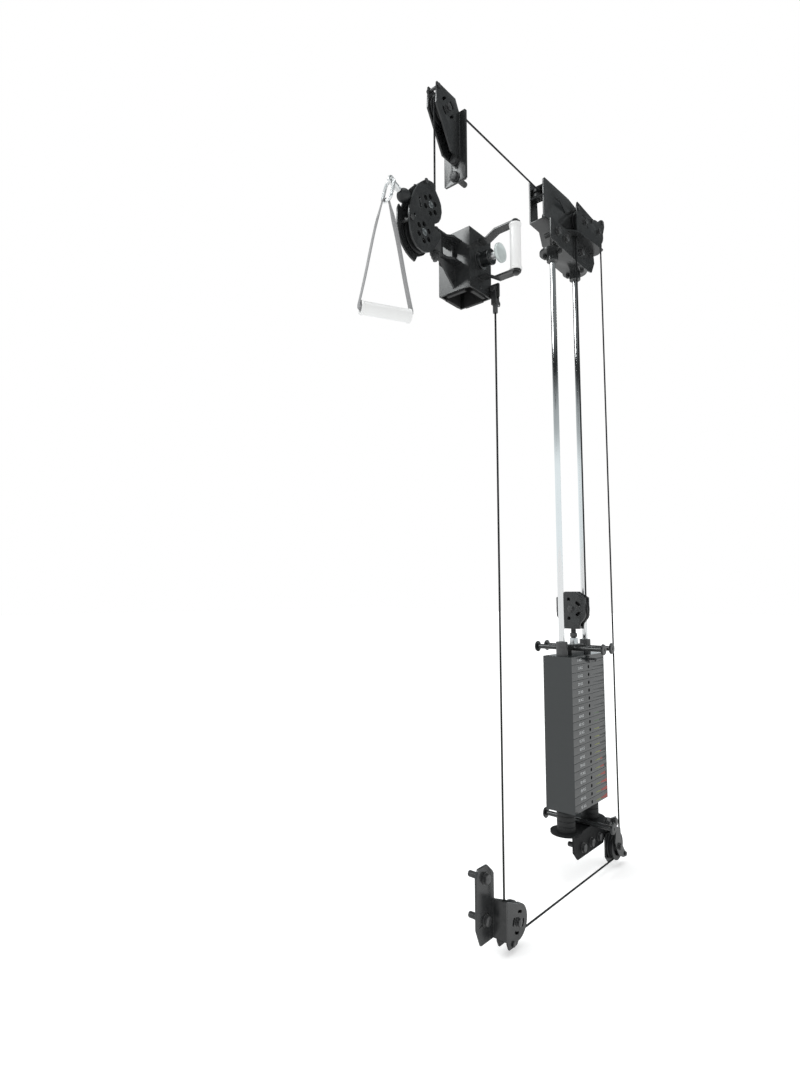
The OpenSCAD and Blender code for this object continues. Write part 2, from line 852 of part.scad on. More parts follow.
module cable_clevis() {
  color([0.2, 0.2, 0.21])
    translate([loop_x, -clevis_y, sleeve_z]) {
      cz(0, 0, -clevis_l, -20, 7);
      bx(-8, 8, -9, 9, -22, -6);
      for (s = [-1, 1])
        bx(-8, 8, s > 0 ? 4.3 : -9, s > 0 ? 9 : -4.3, -7, 30);
      cy(0, -12, 12, 22, 5);
      for (s = [-1, 1])
        hex_y(0, s > 0 ? 9 : -14, s > 0 ? 14 : -9, 22, 8);
    }
}

// Cheek outline, as distance ahead of the swivel axis and height above the sleeve bottom
cheek_pts = [
  [-58, 243], [-45, 249], [-32, 251], [-17, 249], [-17, 234], [-2, 218], [6, 205],
  [9, 185], [4, 165], [-5, 151], [-15, 144], [-22, 141], [-22, 128], [3, 126],
  [4, 112], [-24, 69], [-33, 59], [-51, 48], [-68, 43], [-93, 46], [-110, 61],
  [-120, 82], [-124, 105], [-126, 121], [-124, 141], [-113, 171], [-103, 194], [-88, 217],
  [-73, 233]
];

// Guard on the far cheek, from below the ball round to the bottom
guard_pts = [
  [-131, 155], [-136, 142], [-137, 117], [-134, 89], [-128, 69], [-117, 52], [-101, 39],
  [-85, 32], [-68, 28], [-55, 51], [-80, 60], [-108, 90], [-114, 130], [-120, 148]
];

module arm_cheeks() {
  color(black)
    for (s = [-1, 1])
      difference() {
        union() {
          yz(s > 0 ? gap : -cheek_o, s > 0 ? cheek_o : -gap,
            [for (p = cheek_pts) [p[0] + sw_y, p[1] + sleeve_z]]);
          if (s < 0)
            yz(-cheek_o, -gap, [for (p = guard_pts) [p[0] + sw_y, p[1] + sleeve_z]]);
        }
        for (c = [[up_y, up_z], [lo_y, lo_z]]) {
          cx(-30, 30, c[0], c[1], axle_d / 2 + 0.2);
          for (a = [30:60:330])
            cx(-30, 30, c[0] + 22.5 * cos(a), c[1] + 22.5 * sin(a), 7);
        }
        for (z = [-10, -5, 0, 5, 10])
          cx(-30, 30, sw_y - 81.5 - 0.25 * z, sleeve_z + 171 + z, 4);
        cx(-30, 30, sw_y - 103, sleeve_z + 127, 4.6);
        for (k = arm_ties)
          cx(-30, 30, sw_y + k[0], sleeve_z + k[1], 4.2);
      }
}

arm_ties = [[-116, 112], [-58, 240]];

module arm_axles() {
  color([0.4, 0.4, 0.41]) {
    for (c = [[up_y, up_z], [lo_y, lo_z]])
      translate([0, c[0], c[1]])
        axle_bolt(-cheek_o, cheek_o, axle_d / 2);
    for (k = arm_ties)
      translate([0, sw_y + k[0], sleeve_z + k[1]])
        keeper(-gap, gap, 4.5);
  }
}

module swivel_block() {
  color([0.14, 0.14, 0.15])
    difference() {
      bx(-gap, gap, sw_y - 14, sw_y + 12, sleeve_z + 76.3, sleeve_z + 131.7);
      cz(0, sw_y, sleeve_z + 70, sleeve_z + 140, swivel_d / 2 + 0.05);
    }
}

module arm_upper_pulley() {
  translate([0, up_y, up_z])
    small_wheel();
}

module arm_lower_pulley() {
  translate([0, lo_y, lo_z])
    small_wheel();
}

module ball_stop() {
  color([0.1, 0.1, 0.105])
    translate([0, ball_y, ball_z])
      difference() {
        sphere(r = ball_d / 2);
        rotate([90 - exit_a, 0, 0])
          cylinder(r = cable_d / 2 + 0.3, h = 60, center = true);
      }
}

module cable_eye() {
  color(steel)
    translate([0, ball_y, ball_z])
      rotate([90 - exit_a, 0, 0])
        difference() {
          union() {
            translate([0, 0, ball_d / 2])
              cylinder(r = 7, h = 42 - ball_d / 2);
            translate([-4, 0, 50])
              rotate([0, 90, 0])
                cylinder(r = 11, h = 8);
          }
          translate([-10, 0, 50])
            rotate([0, 90, 0])
              cylinder(r = 6.5, h = 20);
          translate([0, 0, 1])
            cylinder(r = cable_d / 2 + 0.1, h = ball_d / 2 + 12);
        }
}

hook_r = 14;
gate_r = 3.6;
gate_z = hook_low + hook_r + 4.3 + gate_r;

// Hangs from the cable eye, leaning as in use
module hook_frame() {
  translate([0, eye_y, eye_z])
    rotate([hook_tilt, 0, 0])
      children();
}

module carabiner() {
  color(steel)
    hook_frame() {
      translate([0, 0, hook_top - hook_r])
        rotate([90, 0, 0])
          rotate_extrude(angle = 180)
            translate([hook_r, 0])
              circle(r = 4, $fn = 48);
      translate([0, 0, hook_low + hook_r])
        rotate([90, 0, 0])
          rotate([0, 0, 180])
            rotate_extrude(angle = 180)
              translate([hook_r, 0])
                circle(r = 4, $fn = 48);
      cz(-hook_r, 0, hook_low + hook_r, hook_top - hook_r, 4);
      cz(hook_r, 0, hook_low + hook_r, hook_low + hook_r + 4, 4);
      cz(hook_r, 0, hook_top - hook_r - 4, hook_top - hook_r, 4);
    }
}

module carabiner_gate() {
  color(steel)
    hook_frame() translate([hook_r, 0, 0]) {
      cz(0, 0, gate_z, hook_top - hook_r - 4.4, gate_r);
      translate([0, 0, gate_z])
        rotate_extrude($fn = 48)
          intersection() {
            circle(r = gate_r, $fn = 48);
            translate([0, -gate_r])
              square([gate_r, 2 * gate_r]);
          }
      cz(0, 0, gate_z + 4, hook_top - hook_r - 10, 5);
    }
}

module handle_frame() {
  translate([0, strap_y, 0])
    rotate([0, 0, -27])
      children();
}

module handle_strap() {
  color([0.45, 0.45, 0.46])
    handle_frame() {
      a = handle_l / 2 + 5;
      t = strap_z + 7.3;
      w = 3;
      intersection() {
        difference() {
          yz(-11, 11, [
            [-11.5, t], [-a, grip_z + 8], [-a, grip_z - 1.3], [a, grip_z - 1.3],
            [a, grip_z + 8], [11.5, t]
          ]);
          yz(-12, 12, [
            [-9, t - 2.5], [-a + 2.5, grip_z + 7], [-a + 2.5, grip_z + 1.2],
            [a - 2.5, grip_z + 1.2], [a - 2.5, grip_z + 7], [9, t - 2.5]
          ]);
        }
        xz(-a - 1, a + 1, [
          [-11, grip_z - 2], [11, grip_z - 2], [11, t - 60], [w, t - 4], [w, t + 1],
          [-w, t + 1], [-w, t - 4], [-11, t - 60]
        ]);
      }
    }
}

module handle_grip() {
  color(pale)
    handle_frame()
      difference() {
        union() {
          cy(0, -handle_l / 2, handle_l / 2, grip_z, handle_d / 2);
          for (s = [-1, 1])
            cy(0, s > 0 ? handle_l / 2 - 5 : -handle_l / 2, s > 0 ? handle_l / 2 : -handle_l / 2 + 5,
              grip_z, handle_d / 2 + 1.5);
        }
        cy(0, -handle_l, handle_l, grip_z, 11.4);
      }
}

// Plate outline with rod holes, centre hole and a pin hole from the side
module iron_plate(z) {
  difference() {
    bx(-plate_w / 2, plate_w / 2, -plate_l / 2, plate_l / 2, z, z + plate_t - 0.3);
    for (s = [-1, 1])
      cz(0, s * rod_off, z - 1, z + plate_t + 1, rod_d / 2 + 1.2);
    cz(0, 0, z - 1, z + plate_t + 1, 11.5);
    cx(0, plate_w / 2 + 1, 0, z + plate_t / 2, 5.6);
    for (s = [-1, 1])
      translate([s * plate_w / 2, 0, z])
        rotate([0, 45, 0])
          cube([1.6, plate_l + 2, 1.6], center = true);
  }
}

module weight_plates() {
  color([0.1, 0.1, 0.105])
    for (k = [0:plate_count - 1])
      iron_plate(stack_z + k * plate_t);
}

module top_weight_plate() {
  color([0.1, 0.1, 0.105])
    iron_plate(top_z);
}

module selector_pin() {
  color([0.15, 0.15, 0.16])
    translate([0, 0, top_z + plate_t / 2]) {
      cx(-8, plate_w / 2 + 4, 0, 0, 5);
      cx(plate_w / 2 + 0.4, plate_w / 2 + 8, 0, 0, 11);
      for (s = [-1, 1])
        cx(plate_w / 2 + 7, plate_w / 2 + 30, s * 7, 0, 3.2);
      cy(plate_w / 2 + 30, -12, 12, 0, 4.5);
    }
}

module stack_collars() {
  color([0.13, 0.13, 0.14])
    for (s = [-1, 1])
      translate([0, s * rod_off, head_top - 0.3])
        difference() {
          cylinder(r = 18.5, h = 46);
          translate([0, 0, -1])
            cylinder(r = rod_d / 2 + 0.08, h = 48);
        }
}

bar_y = 32.5;
bar_z = head_top + 22.5;

module stack_band_bars() {
  color(black)
    for (s = [-1, 1])
      translate([0, s * bar_y, 0])
        band_bar(bar_z);
}

// Yoke block on the top plate that holds the band bars and the stud
module stack_yoke() {
  color(black)
    difference() {
      bx(-14, 14, -46, 46, head_top - 0.3, head_top + 34);
      for (s = [-1, 1])
        cx(-15, 15, s * bar_y, bar_z, 8 + e);
      cz(0, 0, head_top - 1, head_top + 35, 8.1);
    }
}

// Selector rod through the plates, with the stud, nuts and cross block above
module stack_stem() {
  color(steel) {
    difference() {
      cz(0, 0, stack_z + 4, head_top - 0.3, 10);
      for (k = [0:plate_count])
        cx(-12, 12, 0, stack_z + k * plate_t + plate_t / 2, 5.2);
    }
    cz(0, 0, head_top - 1.3, float_z - float_r - 18, 8);
    translate([0, 0, head_top + 34])
      cylinder(r = 15, h = 20, $fn = 6);
    translate([0, 0, head_top + 58])
      cylinder(r = 13, h = 12, $fn = 6);
    bx(-28, 28, -gap, gap, float_z - float_r - 19, float_z - float_r - 11);
  }
}

module floating_cheeks() {
  color(black)
    for (s = [-1, 1])
      difference() {
        xz(s > 0 ? gap : -cheek_o, s > 0 ? cheek_o : -gap, [for (p = [
          [-19.5, 58], [19.5, 58], [52, 37.5], [52, -22], [48.3, -31], [33, -49],
          [30, -67], [-30, -67], [-33, -49], [-48.3, -31], [-52, -22], [-52, 37.5]
        ]) [p[0], p[1] + float_z]]);
        cy(0, -30, 30, float_z, axle_d / 2 + 0.2);
        for (z = [-32, 32])
          cy(-7, -30, 30, float_z + z, 6);
        for (z = [-17, 17])
          for (b = [-4, -2, 0, 2, 4])
            cy(26 + b, -30, 30, float_z + z - 0.8 * b * sign(z), 5);
      }
}

module floating_pulley() {
  color([0.09, 0.092, 0.096])
    translate([0, 0, float_z])
      rotate([0, 0, 90])
        wheel(float_r, pulley_w, 8.5, hub_w - 0.6, axle_d / 2 + 0.05);
}

module floating_axle() {
  color([0.4, 0.4, 0.41])
    translate([0, 0, float_z])
      rotate([0, 0, 90])
        axle_bolt(-cheek_o, cheek_o, axle_d / 2);
}

cab_r = cable_d / 2;
dark = [0.03, 0.03, 0.032];

// Point on an arc in the outer frame, from distance along and height
function op(y, z) = [strand_x + y * sin(tilt_o), y * cos(tilt_o), z];
function ov(y, z) = [y * sin(tilt_o), y * cos(tilt_o), z];
function ip(y, z) = [-strand_x - y * sin(tilt_i), y * cos(tilt_i), z];
function iv(y, z) = [-y * sin(tilt_i), y * cos(tilt_i), z];

module top_run_cable() {
  ha = [for (a = [180:-18:90]) a];
  mid = tilt_i / 2;
  bend = [0, mid, tilt_i];
  pts = concat(
    [for (a = ha) [0, -drop_y + small_r + small_r * cos(a), head_z + small_r * sin(a)]],
    [for (b = bend) [-roller_r + roller_r * cos(b), roll_y + roller_r * sin(b), cab_z]],
    [for (a = [90:-18:0]) ip(-small_r + small_r * cos(a), head_z + small_r * sin(a))]
  );
  tans = concat(
    [for (a = ha) [0, sin(a), -cos(a)]],
    [for (b = bend) [-sin(b), cos(b), 0]],
    [for (a = [90:-18:0]) iv(sin(a), -cos(a))]
  );
  color(dark)
    tube(pts, tans, [1, 0, 0], cab_r, 10);
}

module return_loop_cable() {
  fy = -foot_y;
  ry = rear_y - small_r;
  pts = concat(
    [for (a = [180:-18:90]) op(small_r + small_r * cos(a), head_z + small_r * sin(a))],
    [for (a = [90:-18:0]) op(span_o - small_r + small_r * cos(a), head_z + small_r * sin(a))],
    [for (a = [0:-18:-90]) [loop_x, ry + small_r * cos(a), low_z + small_r * sin(a)]],
    [for (a = [270:-18:180]) [loop_x, fy + small_r * cos(a), low_z + small_r * sin(a)]]
  );
  tans = concat(
    [for (a = [180:-18:90]) ov(sin(a), -cos(a))],
    [for (a = [90:-18:0]) ov(sin(a), -cos(a))],
    [for (a = [0:-18:-90]) [0, sin(a), -cos(a)]],
    [for (a = [270:-18:180]) [0, sin(a), -cos(a)]]
  );
  color(dark)
    tube(pts, tans, [1, 0, 0], cab_r, 10);
}

module lift_loop_cable() {
  aa = [for (a = [180:18:360]) a];
  color(dark)
    tube([for (a = aa) [float_r * cos(a), 0, float_z + float_r * sin(a)]],
      [for (a = aa) [-sin(a), 0, cos(a)]], [0, 1, 0], cab_r, 10);
}

module lift_strands() {
  color(dark)
    for (s = [-1, 1])
      cz(s * strand_x, 0, float_z, head_z, cab_r);
}

module front_drop_cable() {
  color(dark)
    cz(0, -drop_y, up_z, head_z, cab_r);
}

module front_low_cable() {
  color(dark)
    cz(loop_x, -clevis_y, low_z, sleeve_z - clevis_l, cab_r);
}

module arm_cable() {
  d = sqrt(pow(ball_y - up_y, 2) + pow(ball_z - up_z, 2));
  a_end = atan2(ball_z - up_z, ball_y - up_y) + 360 + acos(small_r / d);
  n = 6;
  aa = [for (i = [0:n]) 360 + (a_end - 360) * i / n];
  te = [0, ball_y + 28 * -cos(exit_a), ball_z + 28 * sin(exit_a)];
  color(dark)
    tube(concat([for (a = aa) [0, up_y + small_r * cos(a), up_z + small_r * sin(a)]], [te]),
      concat([for (a = aa) [0, sin(a), -cos(a)]], [[0, -cos(exit_a), sin(exit_a)]]),
      [1, 0, 0], cab_r, 10);
}

base_bracket();
stack_cushions();
base_band_bar();
guide_rod_front();
guide_rod_rear();
rod_sockets();
top_saddle();
crossover_bracket();
crossover_outer_cheek();
head_bracket();
foot_bracket();
foot_covers();
rear_foot_bracket();
mounting_bolts();
pulley_axles();
keeper_bolts();
guide_roller();
head_pulley();
inner_drop_pulley();
outer_front_pulley();
outer_rear_pulley();
foot_pulley();
rear_foot_pulley();
trolley_sleeve();
slider_pads();
swivel_bracket();
pop_pin_housing();
pop_pin();
handle_arms();
trolley_grip();
trolley_bolts();
cable_clevis();
arm_cheeks();
arm_axles();
swivel_block();
arm_upper_pulley();
arm_lower_pulley();
ball_stop();
cable_eye();
carabiner();
carabiner_gate();
handle_strap();
handle_grip();
weight_plates();
top_weight_plate();
selector_pin();
stack_collars();
stack_band_bars();
stack_yoke();
stack_stem();
floating_cheeks();
floating_pulley();
floating_axle();
top_run_cable();
return_loop_cable();
lift_loop_cable();
lift_strands();
front_drop_cable();
front_low_cable();
arm_cable();
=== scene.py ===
import json
from math import acos, atan, atan2, copysign, cos, degrees, hypot, pi, radians, sin, tan

import bmesh
import bpy
from mathutils import Matrix, Vector


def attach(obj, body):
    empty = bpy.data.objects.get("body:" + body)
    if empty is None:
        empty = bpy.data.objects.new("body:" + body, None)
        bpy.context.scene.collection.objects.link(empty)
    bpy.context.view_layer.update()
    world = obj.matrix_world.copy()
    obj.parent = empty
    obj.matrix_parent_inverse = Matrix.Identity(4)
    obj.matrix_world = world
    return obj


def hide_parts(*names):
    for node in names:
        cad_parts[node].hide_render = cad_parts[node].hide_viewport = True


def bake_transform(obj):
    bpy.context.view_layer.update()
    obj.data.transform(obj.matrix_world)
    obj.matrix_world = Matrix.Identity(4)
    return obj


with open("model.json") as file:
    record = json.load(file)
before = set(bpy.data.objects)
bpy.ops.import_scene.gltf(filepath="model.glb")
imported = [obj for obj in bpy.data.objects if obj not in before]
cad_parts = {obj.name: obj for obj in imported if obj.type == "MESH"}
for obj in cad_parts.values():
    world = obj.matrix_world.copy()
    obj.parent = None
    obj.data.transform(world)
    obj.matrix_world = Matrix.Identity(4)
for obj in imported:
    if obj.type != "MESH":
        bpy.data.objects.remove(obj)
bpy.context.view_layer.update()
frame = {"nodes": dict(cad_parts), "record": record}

MM = 0.001
X, Y, Z = Vector((1, 0, 0)), Vector((0, 1, 0)), Vector((0, 0, 1))
NODES = frame["nodes"]
SLOT_OF = {row["node"]: row["material_slot"] for row in frame["record"]["subparts"]}
BODY_OF = {
    node: body
    for body, nodes in frame["record"]["behaviour"]["bodies"].items()
    for node in nodes
}


def linked(name, data):
    obj = bpy.data.objects.new(name, data)
    bpy.context.scene.collection.objects.link(obj)
    return obj


# Camera at the place the photograph was taken from

PHOTO_LENS = 21.35
SENSOR_WIDTH = 36.0
CAMERA_PLACE = Vector((0.98137, -2.01991, 0.753))
CAMERA_RIGHT = Vector((0.7536, 0.6573, 0.0004))
CAMERA_UP = Vector((0.0638, -0.0737, 0.9952))


def place_camera():
    data = bpy.data.cameras.new("photo_camera")
    data.lens = PHOTO_LENS
    data.sensor_width = SENSOR_WIDTH
    camera = linked("photo_camera", data)
    right = CAMERA_RIGHT.normalized()
    back = right.cross(CAMERA_UP).normalized()
    turn = Matrix((right, back.cross(right), back)).transposed()
    camera.matrix_world = Matrix.Translation(CAMERA_PLACE) @ turn.to_4x4()
    bpy.context.scene.camera = camera


place_camera()


# Node helpers, in which an output is written as (node, output). A colour mix takes its
# two colours and gives its result on these sockets.

MIX_A, MIX_B, MIX_OUT = 6, 7, 2


def fill(node, inputs):
    """Gives inputs of the node a value each, or a link from an output."""
    for socket, value in inputs.items():
        if isinstance(value, tuple) and isinstance(value[0], bpy.types.Node):
            source, output = value
            node.id_data.links.new(source.outputs[output], node.inputs[socket])
        else:
            node.inputs[socket].default_value = value
    return node


def add_node(tree, kind, inputs=None, **settings):
    node = tree.nodes.new(kind)
    for label, value in settings.items():
        setattr(node, label, value)
    return fill(node, inputs or {})


def maths(tree, operation, *values, **settings):
    inputs = dict(enumerate(values))
    return add_node(tree, "ShaderNodeMath", inputs, operation=operation, **settings), 0


def mixed(tree, factor, first, second):
    """The colour between two, by the factor."""
    inputs = {"Factor": factor, MIX_A: first, MIX_B: second}
    return add_node(tree, "ShaderNodeMix", inputs, data_type="RGBA"), MIX_OUT


def new_tree(name, kind, inputs, outputs):
    """A node tree, its two end nodes and the identifiers of its inputs."""
    tree = bpy.data.node_groups.new(name, kind + "NodeTree")
    ids = {}
    for in_out, sockets in (("OUTPUT", outputs), ("INPUT", inputs)):
        for label, socket in sockets.items():
            kind = "NodeSocket" + socket
            item = tree.interface.new_socket(label, in_out=in_out, socket_type=kind)
            ids[label] = item.identifier
    return tree, add_node(tree, "NodeGroupInput"), add_node(tree, "NodeGroupOutput"), ids


# Shader groups shared by the finishes


def coat_grain_group():
    """Fine orange peel of a sprayed coat with a slow drift of tone."""
    tree, gin, gout, _ = new_tree(
        "coat_grain", "Shader",
        {"Size": "Float", "Drift": "Float"}, {"Height": "Float", "Tone": "Float"},
    )
    coords = add_node(tree, "ShaderNodeTexCoord")
    for size, detail, result in (("Size", 3.0, "Height"), ("Drift", 2.0, "Tone")):
        inputs = {"Vector": (coords, "Object"), "Scale": (gin, size), "Detail": detail}
        fill(gout, {result: (add_node(tree, "ShaderNodeTexNoise", inputs), "Fac")})
    return tree


def painted_edge_highlight_group():
    """Paints the sharp edges toward a set tone, patchy by noise: a painted edge highlight on the
    dark finishes, a darker edge on the pale grip.
    """
    tree, gin, gout, _ = new_tree(
        "painted_edge_highlight", "Shader",
        {"Colour": "Color", "Rubbed": "Color", "Amount": "Float"}, {"Colour": "Color"},
    )
    edge = add_node(tree, "ShaderNodeAttribute", attribute_name="painted_highlight_edge")
    coords = add_node(tree, "ShaderNodeTexCoord")
    inputs = {"Vector": (coords, "Object"), "Scale": 90.0, "Detail": 2.0}
    patch = add_node(tree, "ShaderNodeTexNoise", inputs)
    amount = maths(tree, "MULTIPLY", (patch, "Fac"), (gin, "Amount"))
    highlight_mask = maths(tree, "MULTIPLY", (edge, "Fac"), amount, use_clamp=True)
    fill(gout, {"Colour": mixed(tree, highlight_mask, (gin, "Colour"), (gin, "Rubbed"))})
    return tree


def lathe_line_group():
    """Fine rings and streaks left on turned and ground metal."""
    tree, gin, gout, _ = new_tree(
        "lathe_lines", "Shader", {"Along": "Vector", "Low": "Float", "High": "Float"},
        {"Roughness": "Float", "Height": "Float"},
    )
    coords = add_node(tree, "ShaderNodeTexCoord")
    inputs = {"Vector": (coords, "Object"), "Scale": (gin, "Along")}
    stretch = add_node(tree, "ShaderNodeMapping", inputs)
    inputs = {"Vector": (stretch, "Vector"), "Scale": 5.0, "Detail": 4.0}
    noise = add_node(tree, "ShaderNodeTexNoise", inputs)
    inputs = {"Value": (noise, "Fac"), "To Min": (gin, "Low"), "To Max": (gin, "High")}
    span = add_node(tree, "ShaderNodeMapRange", inputs)
    fill(gout, {"Roughness": (span, "Result"), "Height": (noise, "Fac")})
    return tree


COAT_GRAIN = coat_grain_group()
PAINTED_EDGE_HIGHLIGHT = painted_edge_highlight_group()
LATHE_LINES = lathe_line_group()


# Finishes

COAT_DEPTH = 0.2 * MM
WEAVE_DEPTH = 0.3 * MM
WEAVE_SHARE = 0.6
METAL_SHADE = 0.86
EVEN_GRAIN = (20.0, 20.0, 20.0)


def grey(value):
    return (value, value, value, 1.0)


def blank_material(name):
    material = bpy.data.materials.new(name)
    material.use_nodes = True
    return material, material.node_tree, material.node_tree.nodes["Principled BSDF"]


def place_group(tree, group, **values):
    return add_node(tree, "ShaderNodeGroup", values, node_tree=group)


def toned(tree, tone, dark, light):
    return mixed(tree, tone, (*dark, 1.0), (*light, 1.0))


def relief(tree, height, strength, depth):
    """The surface's normal with the height standing out of it."""
    inputs = {"Height": height, "Strength": strength, "Distance": depth}
    return add_node(tree, "ShaderNodeBump", inputs), "Normal"


def coated_finish(
    name, dark, light, rough, size=700.0, drift=5.0, bump=0.08, highlight_tone=0.16, amount=0.5,
    metal=0.0, specular=0.5,
):
    """A painted, moulded or cast finish with grain, drift of tone and a painted highlight on its
    sharp edges.
    """
    material, tree, shader = blank_material(name)
    grain = place_group(tree, COAT_GRAIN, Size=size, Drift=drift)
    colour = toned(tree, (grain, "Tone"), dark, light)
    edge = place_group(tree, PAINTED_EDGE_HIGHLIGHT, Colour=colour, Rubbed=grey(highlight_tone), Amount=amount)
    height = (grain, "Height")
    inputs = {"Value": height, "To Min": rough[0], "To Max": rough[1]}
    spread = add_node(tree, "ShaderNodeMapRange", inputs)
    fill(shader, {
        "Base Color": (edge, "Colour"), "Roughness": (spread, "Result"),
        "Normal": relief(tree, height, bump, COAT_DEPTH), "Metallic": metal,
        "Specular IOR Level": specular,
    })
    return material


def machined_finish(name, colour, low, high, along=EVEN_GRAIN):
    """Bright metal with the fine lines of its turning or grinding."""
    material, tree, shader = blank_material(name)
    lines = place_group(tree, LATHE_LINES, Along=along, Low=low, High=high)
    shade = [c * METAL_SHADE for c in colour]
    fill(shader, {
        "Base Color": toned(tree, (lines, "Height"), colour, shade),
        "Roughness": (lines, "Roughness"), "Metallic": 1.0,
    })
    return material


def web_finish(name, dark, light):
    """Woven webbing: ribs along the strap and fine threads across, from its UV map."""
    material, tree, shader = blank_material(name)
    coords = add_node(tree, "ShaderNodeUVMap", uv_map="UVMap")
    waves = []
    for direction, scale in (("X", 620.0), ("Y", 900.0)):
        inputs = {"Vector": (coords, "UV"), "Scale": scale, "Distortion": 0.4}
        wave = add_node(tree, "ShaderNodeTexWave", inputs, bands_direction=direction)
        waves.append((wave, "Fac"))
    weave = maths(tree, "MULTIPLY", *waves)
    grain = place_group(tree, COAT_GRAIN, Size=300.0, Drift=30.0)
    fuzz = maths(tree, "MULTIPLY", (grain, "Tone"), 1.0 - WEAVE_SHARE)
    tone = maths(tree, "MULTIPLY_ADD", weave, WEAVE_SHARE, fuzz)
    fill(shader, {
        "Base Color": toned(tree, tone, dark, light),
        "Normal": relief(tree, weave, 0.5, WEAVE_DEPTH), "Roughness": 0.85, "Sheen Weight": 0.2,
    })
    return material


# The edge tone of each finish is a painted highlight on its sharp edges; on the pale grip it is
# darker.
FINISH = {
    "black_paint": coated_finish(
        "powder_coat", (0.0075, 0.0088, 0.0094), (0.011, 0.0125, 0.0132), (0.22, 0.26),
        bump=0.015, highlight_tone=0.07, amount=0.45,
    ),
    "plate_iron": coated_finish(
        "stack_plate_paint", (0.011, 0.0142, 0.0152), (0.015, 0.0185, 0.0195), (0.2, 0.25),
        size=380.0, drift=4.0, bump=0.02, highlight_tone=0.03, amount=0.1, specular=0.72,
    ),
    "pulley_plastic": coated_finish(
        "moulded_nylon", (0.006, 0.0065, 0.007), (0.011, 0.0115, 0.012), (0.34, 0.46),
        size=900.0, bump=0.04, highlight_tone=0.035, specular=0.4,
    ),
    "slider_plastic": coated_finish(
        "slider_polymer", (0.009, 0.009, 0.0095), (0.014, 0.014, 0.0145), (0.5, 0.6),
        highlight_tone=0.04, specular=0.35,
    ),
    "cushion_rubber": coated_finish(
        "cushion_rubber", (0.009, 0.0095, 0.01), (0.015, 0.0155, 0.016), (0.5, 0.62),
        size=500.0, bump=0.12, highlight_tone=0.03, specular=0.35,
    ),
    "stop_rubber": coated_finish(
        "ball_rubber", (0.014, 0.0155, 0.0165), (0.02, 0.022, 0.023), (0.42, 0.54),
        size=800.0, bump=0.05, highlight_tone=0.04, specular=0.4,
    ),
    "dark_steel": coated_finish(
        "black_oxide", (0.01, 0.0108, 0.0118), (0.016, 0.0168, 0.018), (0.28, 0.38),
        size=1100.0, bump=0.02, highlight_tone=0.12, amount=0.6, specular=0.6,
    ),
    "pale_grip": coated_finish(
        "pale_grip_sleeve", (0.88, 0.88, 0.875), (0.92, 0.92, 0.915), (0.24, 0.34),
        size=900.0, bump=0.04, highlight_tone=0.66, amount=0.1,
    ),
    "cable_sheath": coated_finish(
        "cable_sheath", (0.007, 0.0075, 0.008), (0.011, 0.0115, 0.012), (0.46, 0.5),
        size=6.0, drift=1.0, bump=0.0, highlight_tone=0.01, amount=0.0, specular=0.25,
    ),
    "strap_web": web_finish("strap_webbing", (0.24, 0.24, 0.245), (0.42, 0.42, 0.425)),
    "rod_chrome": machined_finish("rod_chrome", (0.84, 0.85, 0.855), 0.05, 0.08, (3.0, 3.0, 1.5)),
    "bright_steel": machined_finish(
        "bright_zinc", (0.62, 0.63, 0.64), 0.22, 0.34, (1.0, 1.0, 120.0)
    ),
}
CHROME_TRIM = machined_finish("trim_chrome", (0.93, 0.935, 0.94), 0.34, 0.42)
HUB_STEEL = machined_finish("hub_steel", (0.27, 0.285, 0.29), 0.3, 0.4)
EYE_STEEL = machined_finish("eye_nickel", (0.84, 0.85, 0.85), 0.3, 0.38)
# Painted shade: a darker, duller copy of the black paint for the base bracket, standing in for the
# shadow that the rack around it casts.
SHADED_BRACKET_PAINT = coated_finish(
    "bracket_painted_shade", (0.004, 0.0045, 0.005), (0.0065, 0.007, 0.0075), (0.5, 0.6),
    highlight_tone=0.05, amount=0.3, specular=0.12,
)
KNOB_GLAZE = coated_finish(
    "knob_glaze", (0.62, 0.68, 0.67), (0.7, 0.76, 0.75), (0.12, 0.2),
    size=500.0, drift=30.0, bump=0.03, highlight_tone=0.7, amount=0.2, metal=0.1,
)
INK = {
    "pale": (0.6, 0.62, 0.63), "dark": (0.012, 0.014, 0.014), "green": (0.055, 0.11, 0.035),
    "yellow": (0.2, 0.22, 0.025), "red": (0.28, 0.035, 0.025), "thread": (0.5, 0.5, 0.5),
}
LABEL = {
    name: coated_finish(
        f"print_{name}", colour, [c * 1.15 for c in colour], (0.4, 0.5),
        size=900.0, drift=60.0, bump=0.02, highlight_tone=0.3, amount=0.0,
    )
    for name, colour in INK.items()
}


# Mesh helpers

# Edges that turn sharper than this get the painted edge highlight.
HIGHLIGHT_ANGLE = radians(18)
SOLID_SHARP = 26.0
MERGE_REACH = 2e-6
FLAT_ANGLE = radians(0.4)
EASED_ANGLE = radians(32)
ON_AXIS = 1e-7
HEX_POINTS = 36
HEX_CROWN = 0.95


def settle(obj, body, slot, *nodes):
    """Rides the piece on its body and hides the nodes it stands for."""
    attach(obj, body)
    if nodes:
        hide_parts(*nodes)
    return obj


def evaluated_mesh(obj, name):
    graph = bpy.context.evaluated_depsgraph_get()
    mesh = bpy.data.meshes.new_from_object(obj.evaluated_get(graph))
    mesh.name = name
    return mesh


def mark_highlight_edges(mesh):
    """Stores where the surface turns sharply, as the mask of the painted edge highlight."""
    work = bmesh.new()
    work.from_mesh(mesh)
    values = [0.0] * len(work.verts)
    for edge in work.edges:
        if len(edge.link_faces) == 2 and edge.calc_face_angle_signed(0.0) > HIGHLIGHT_ANGLE:
            for vert in edge.verts:
                values[vert.index] = 1.0
    work.free()
    mesh.attributes.new("painted_highlight_edge", "FLOAT", "POINT").data.foreach_set("value", values)


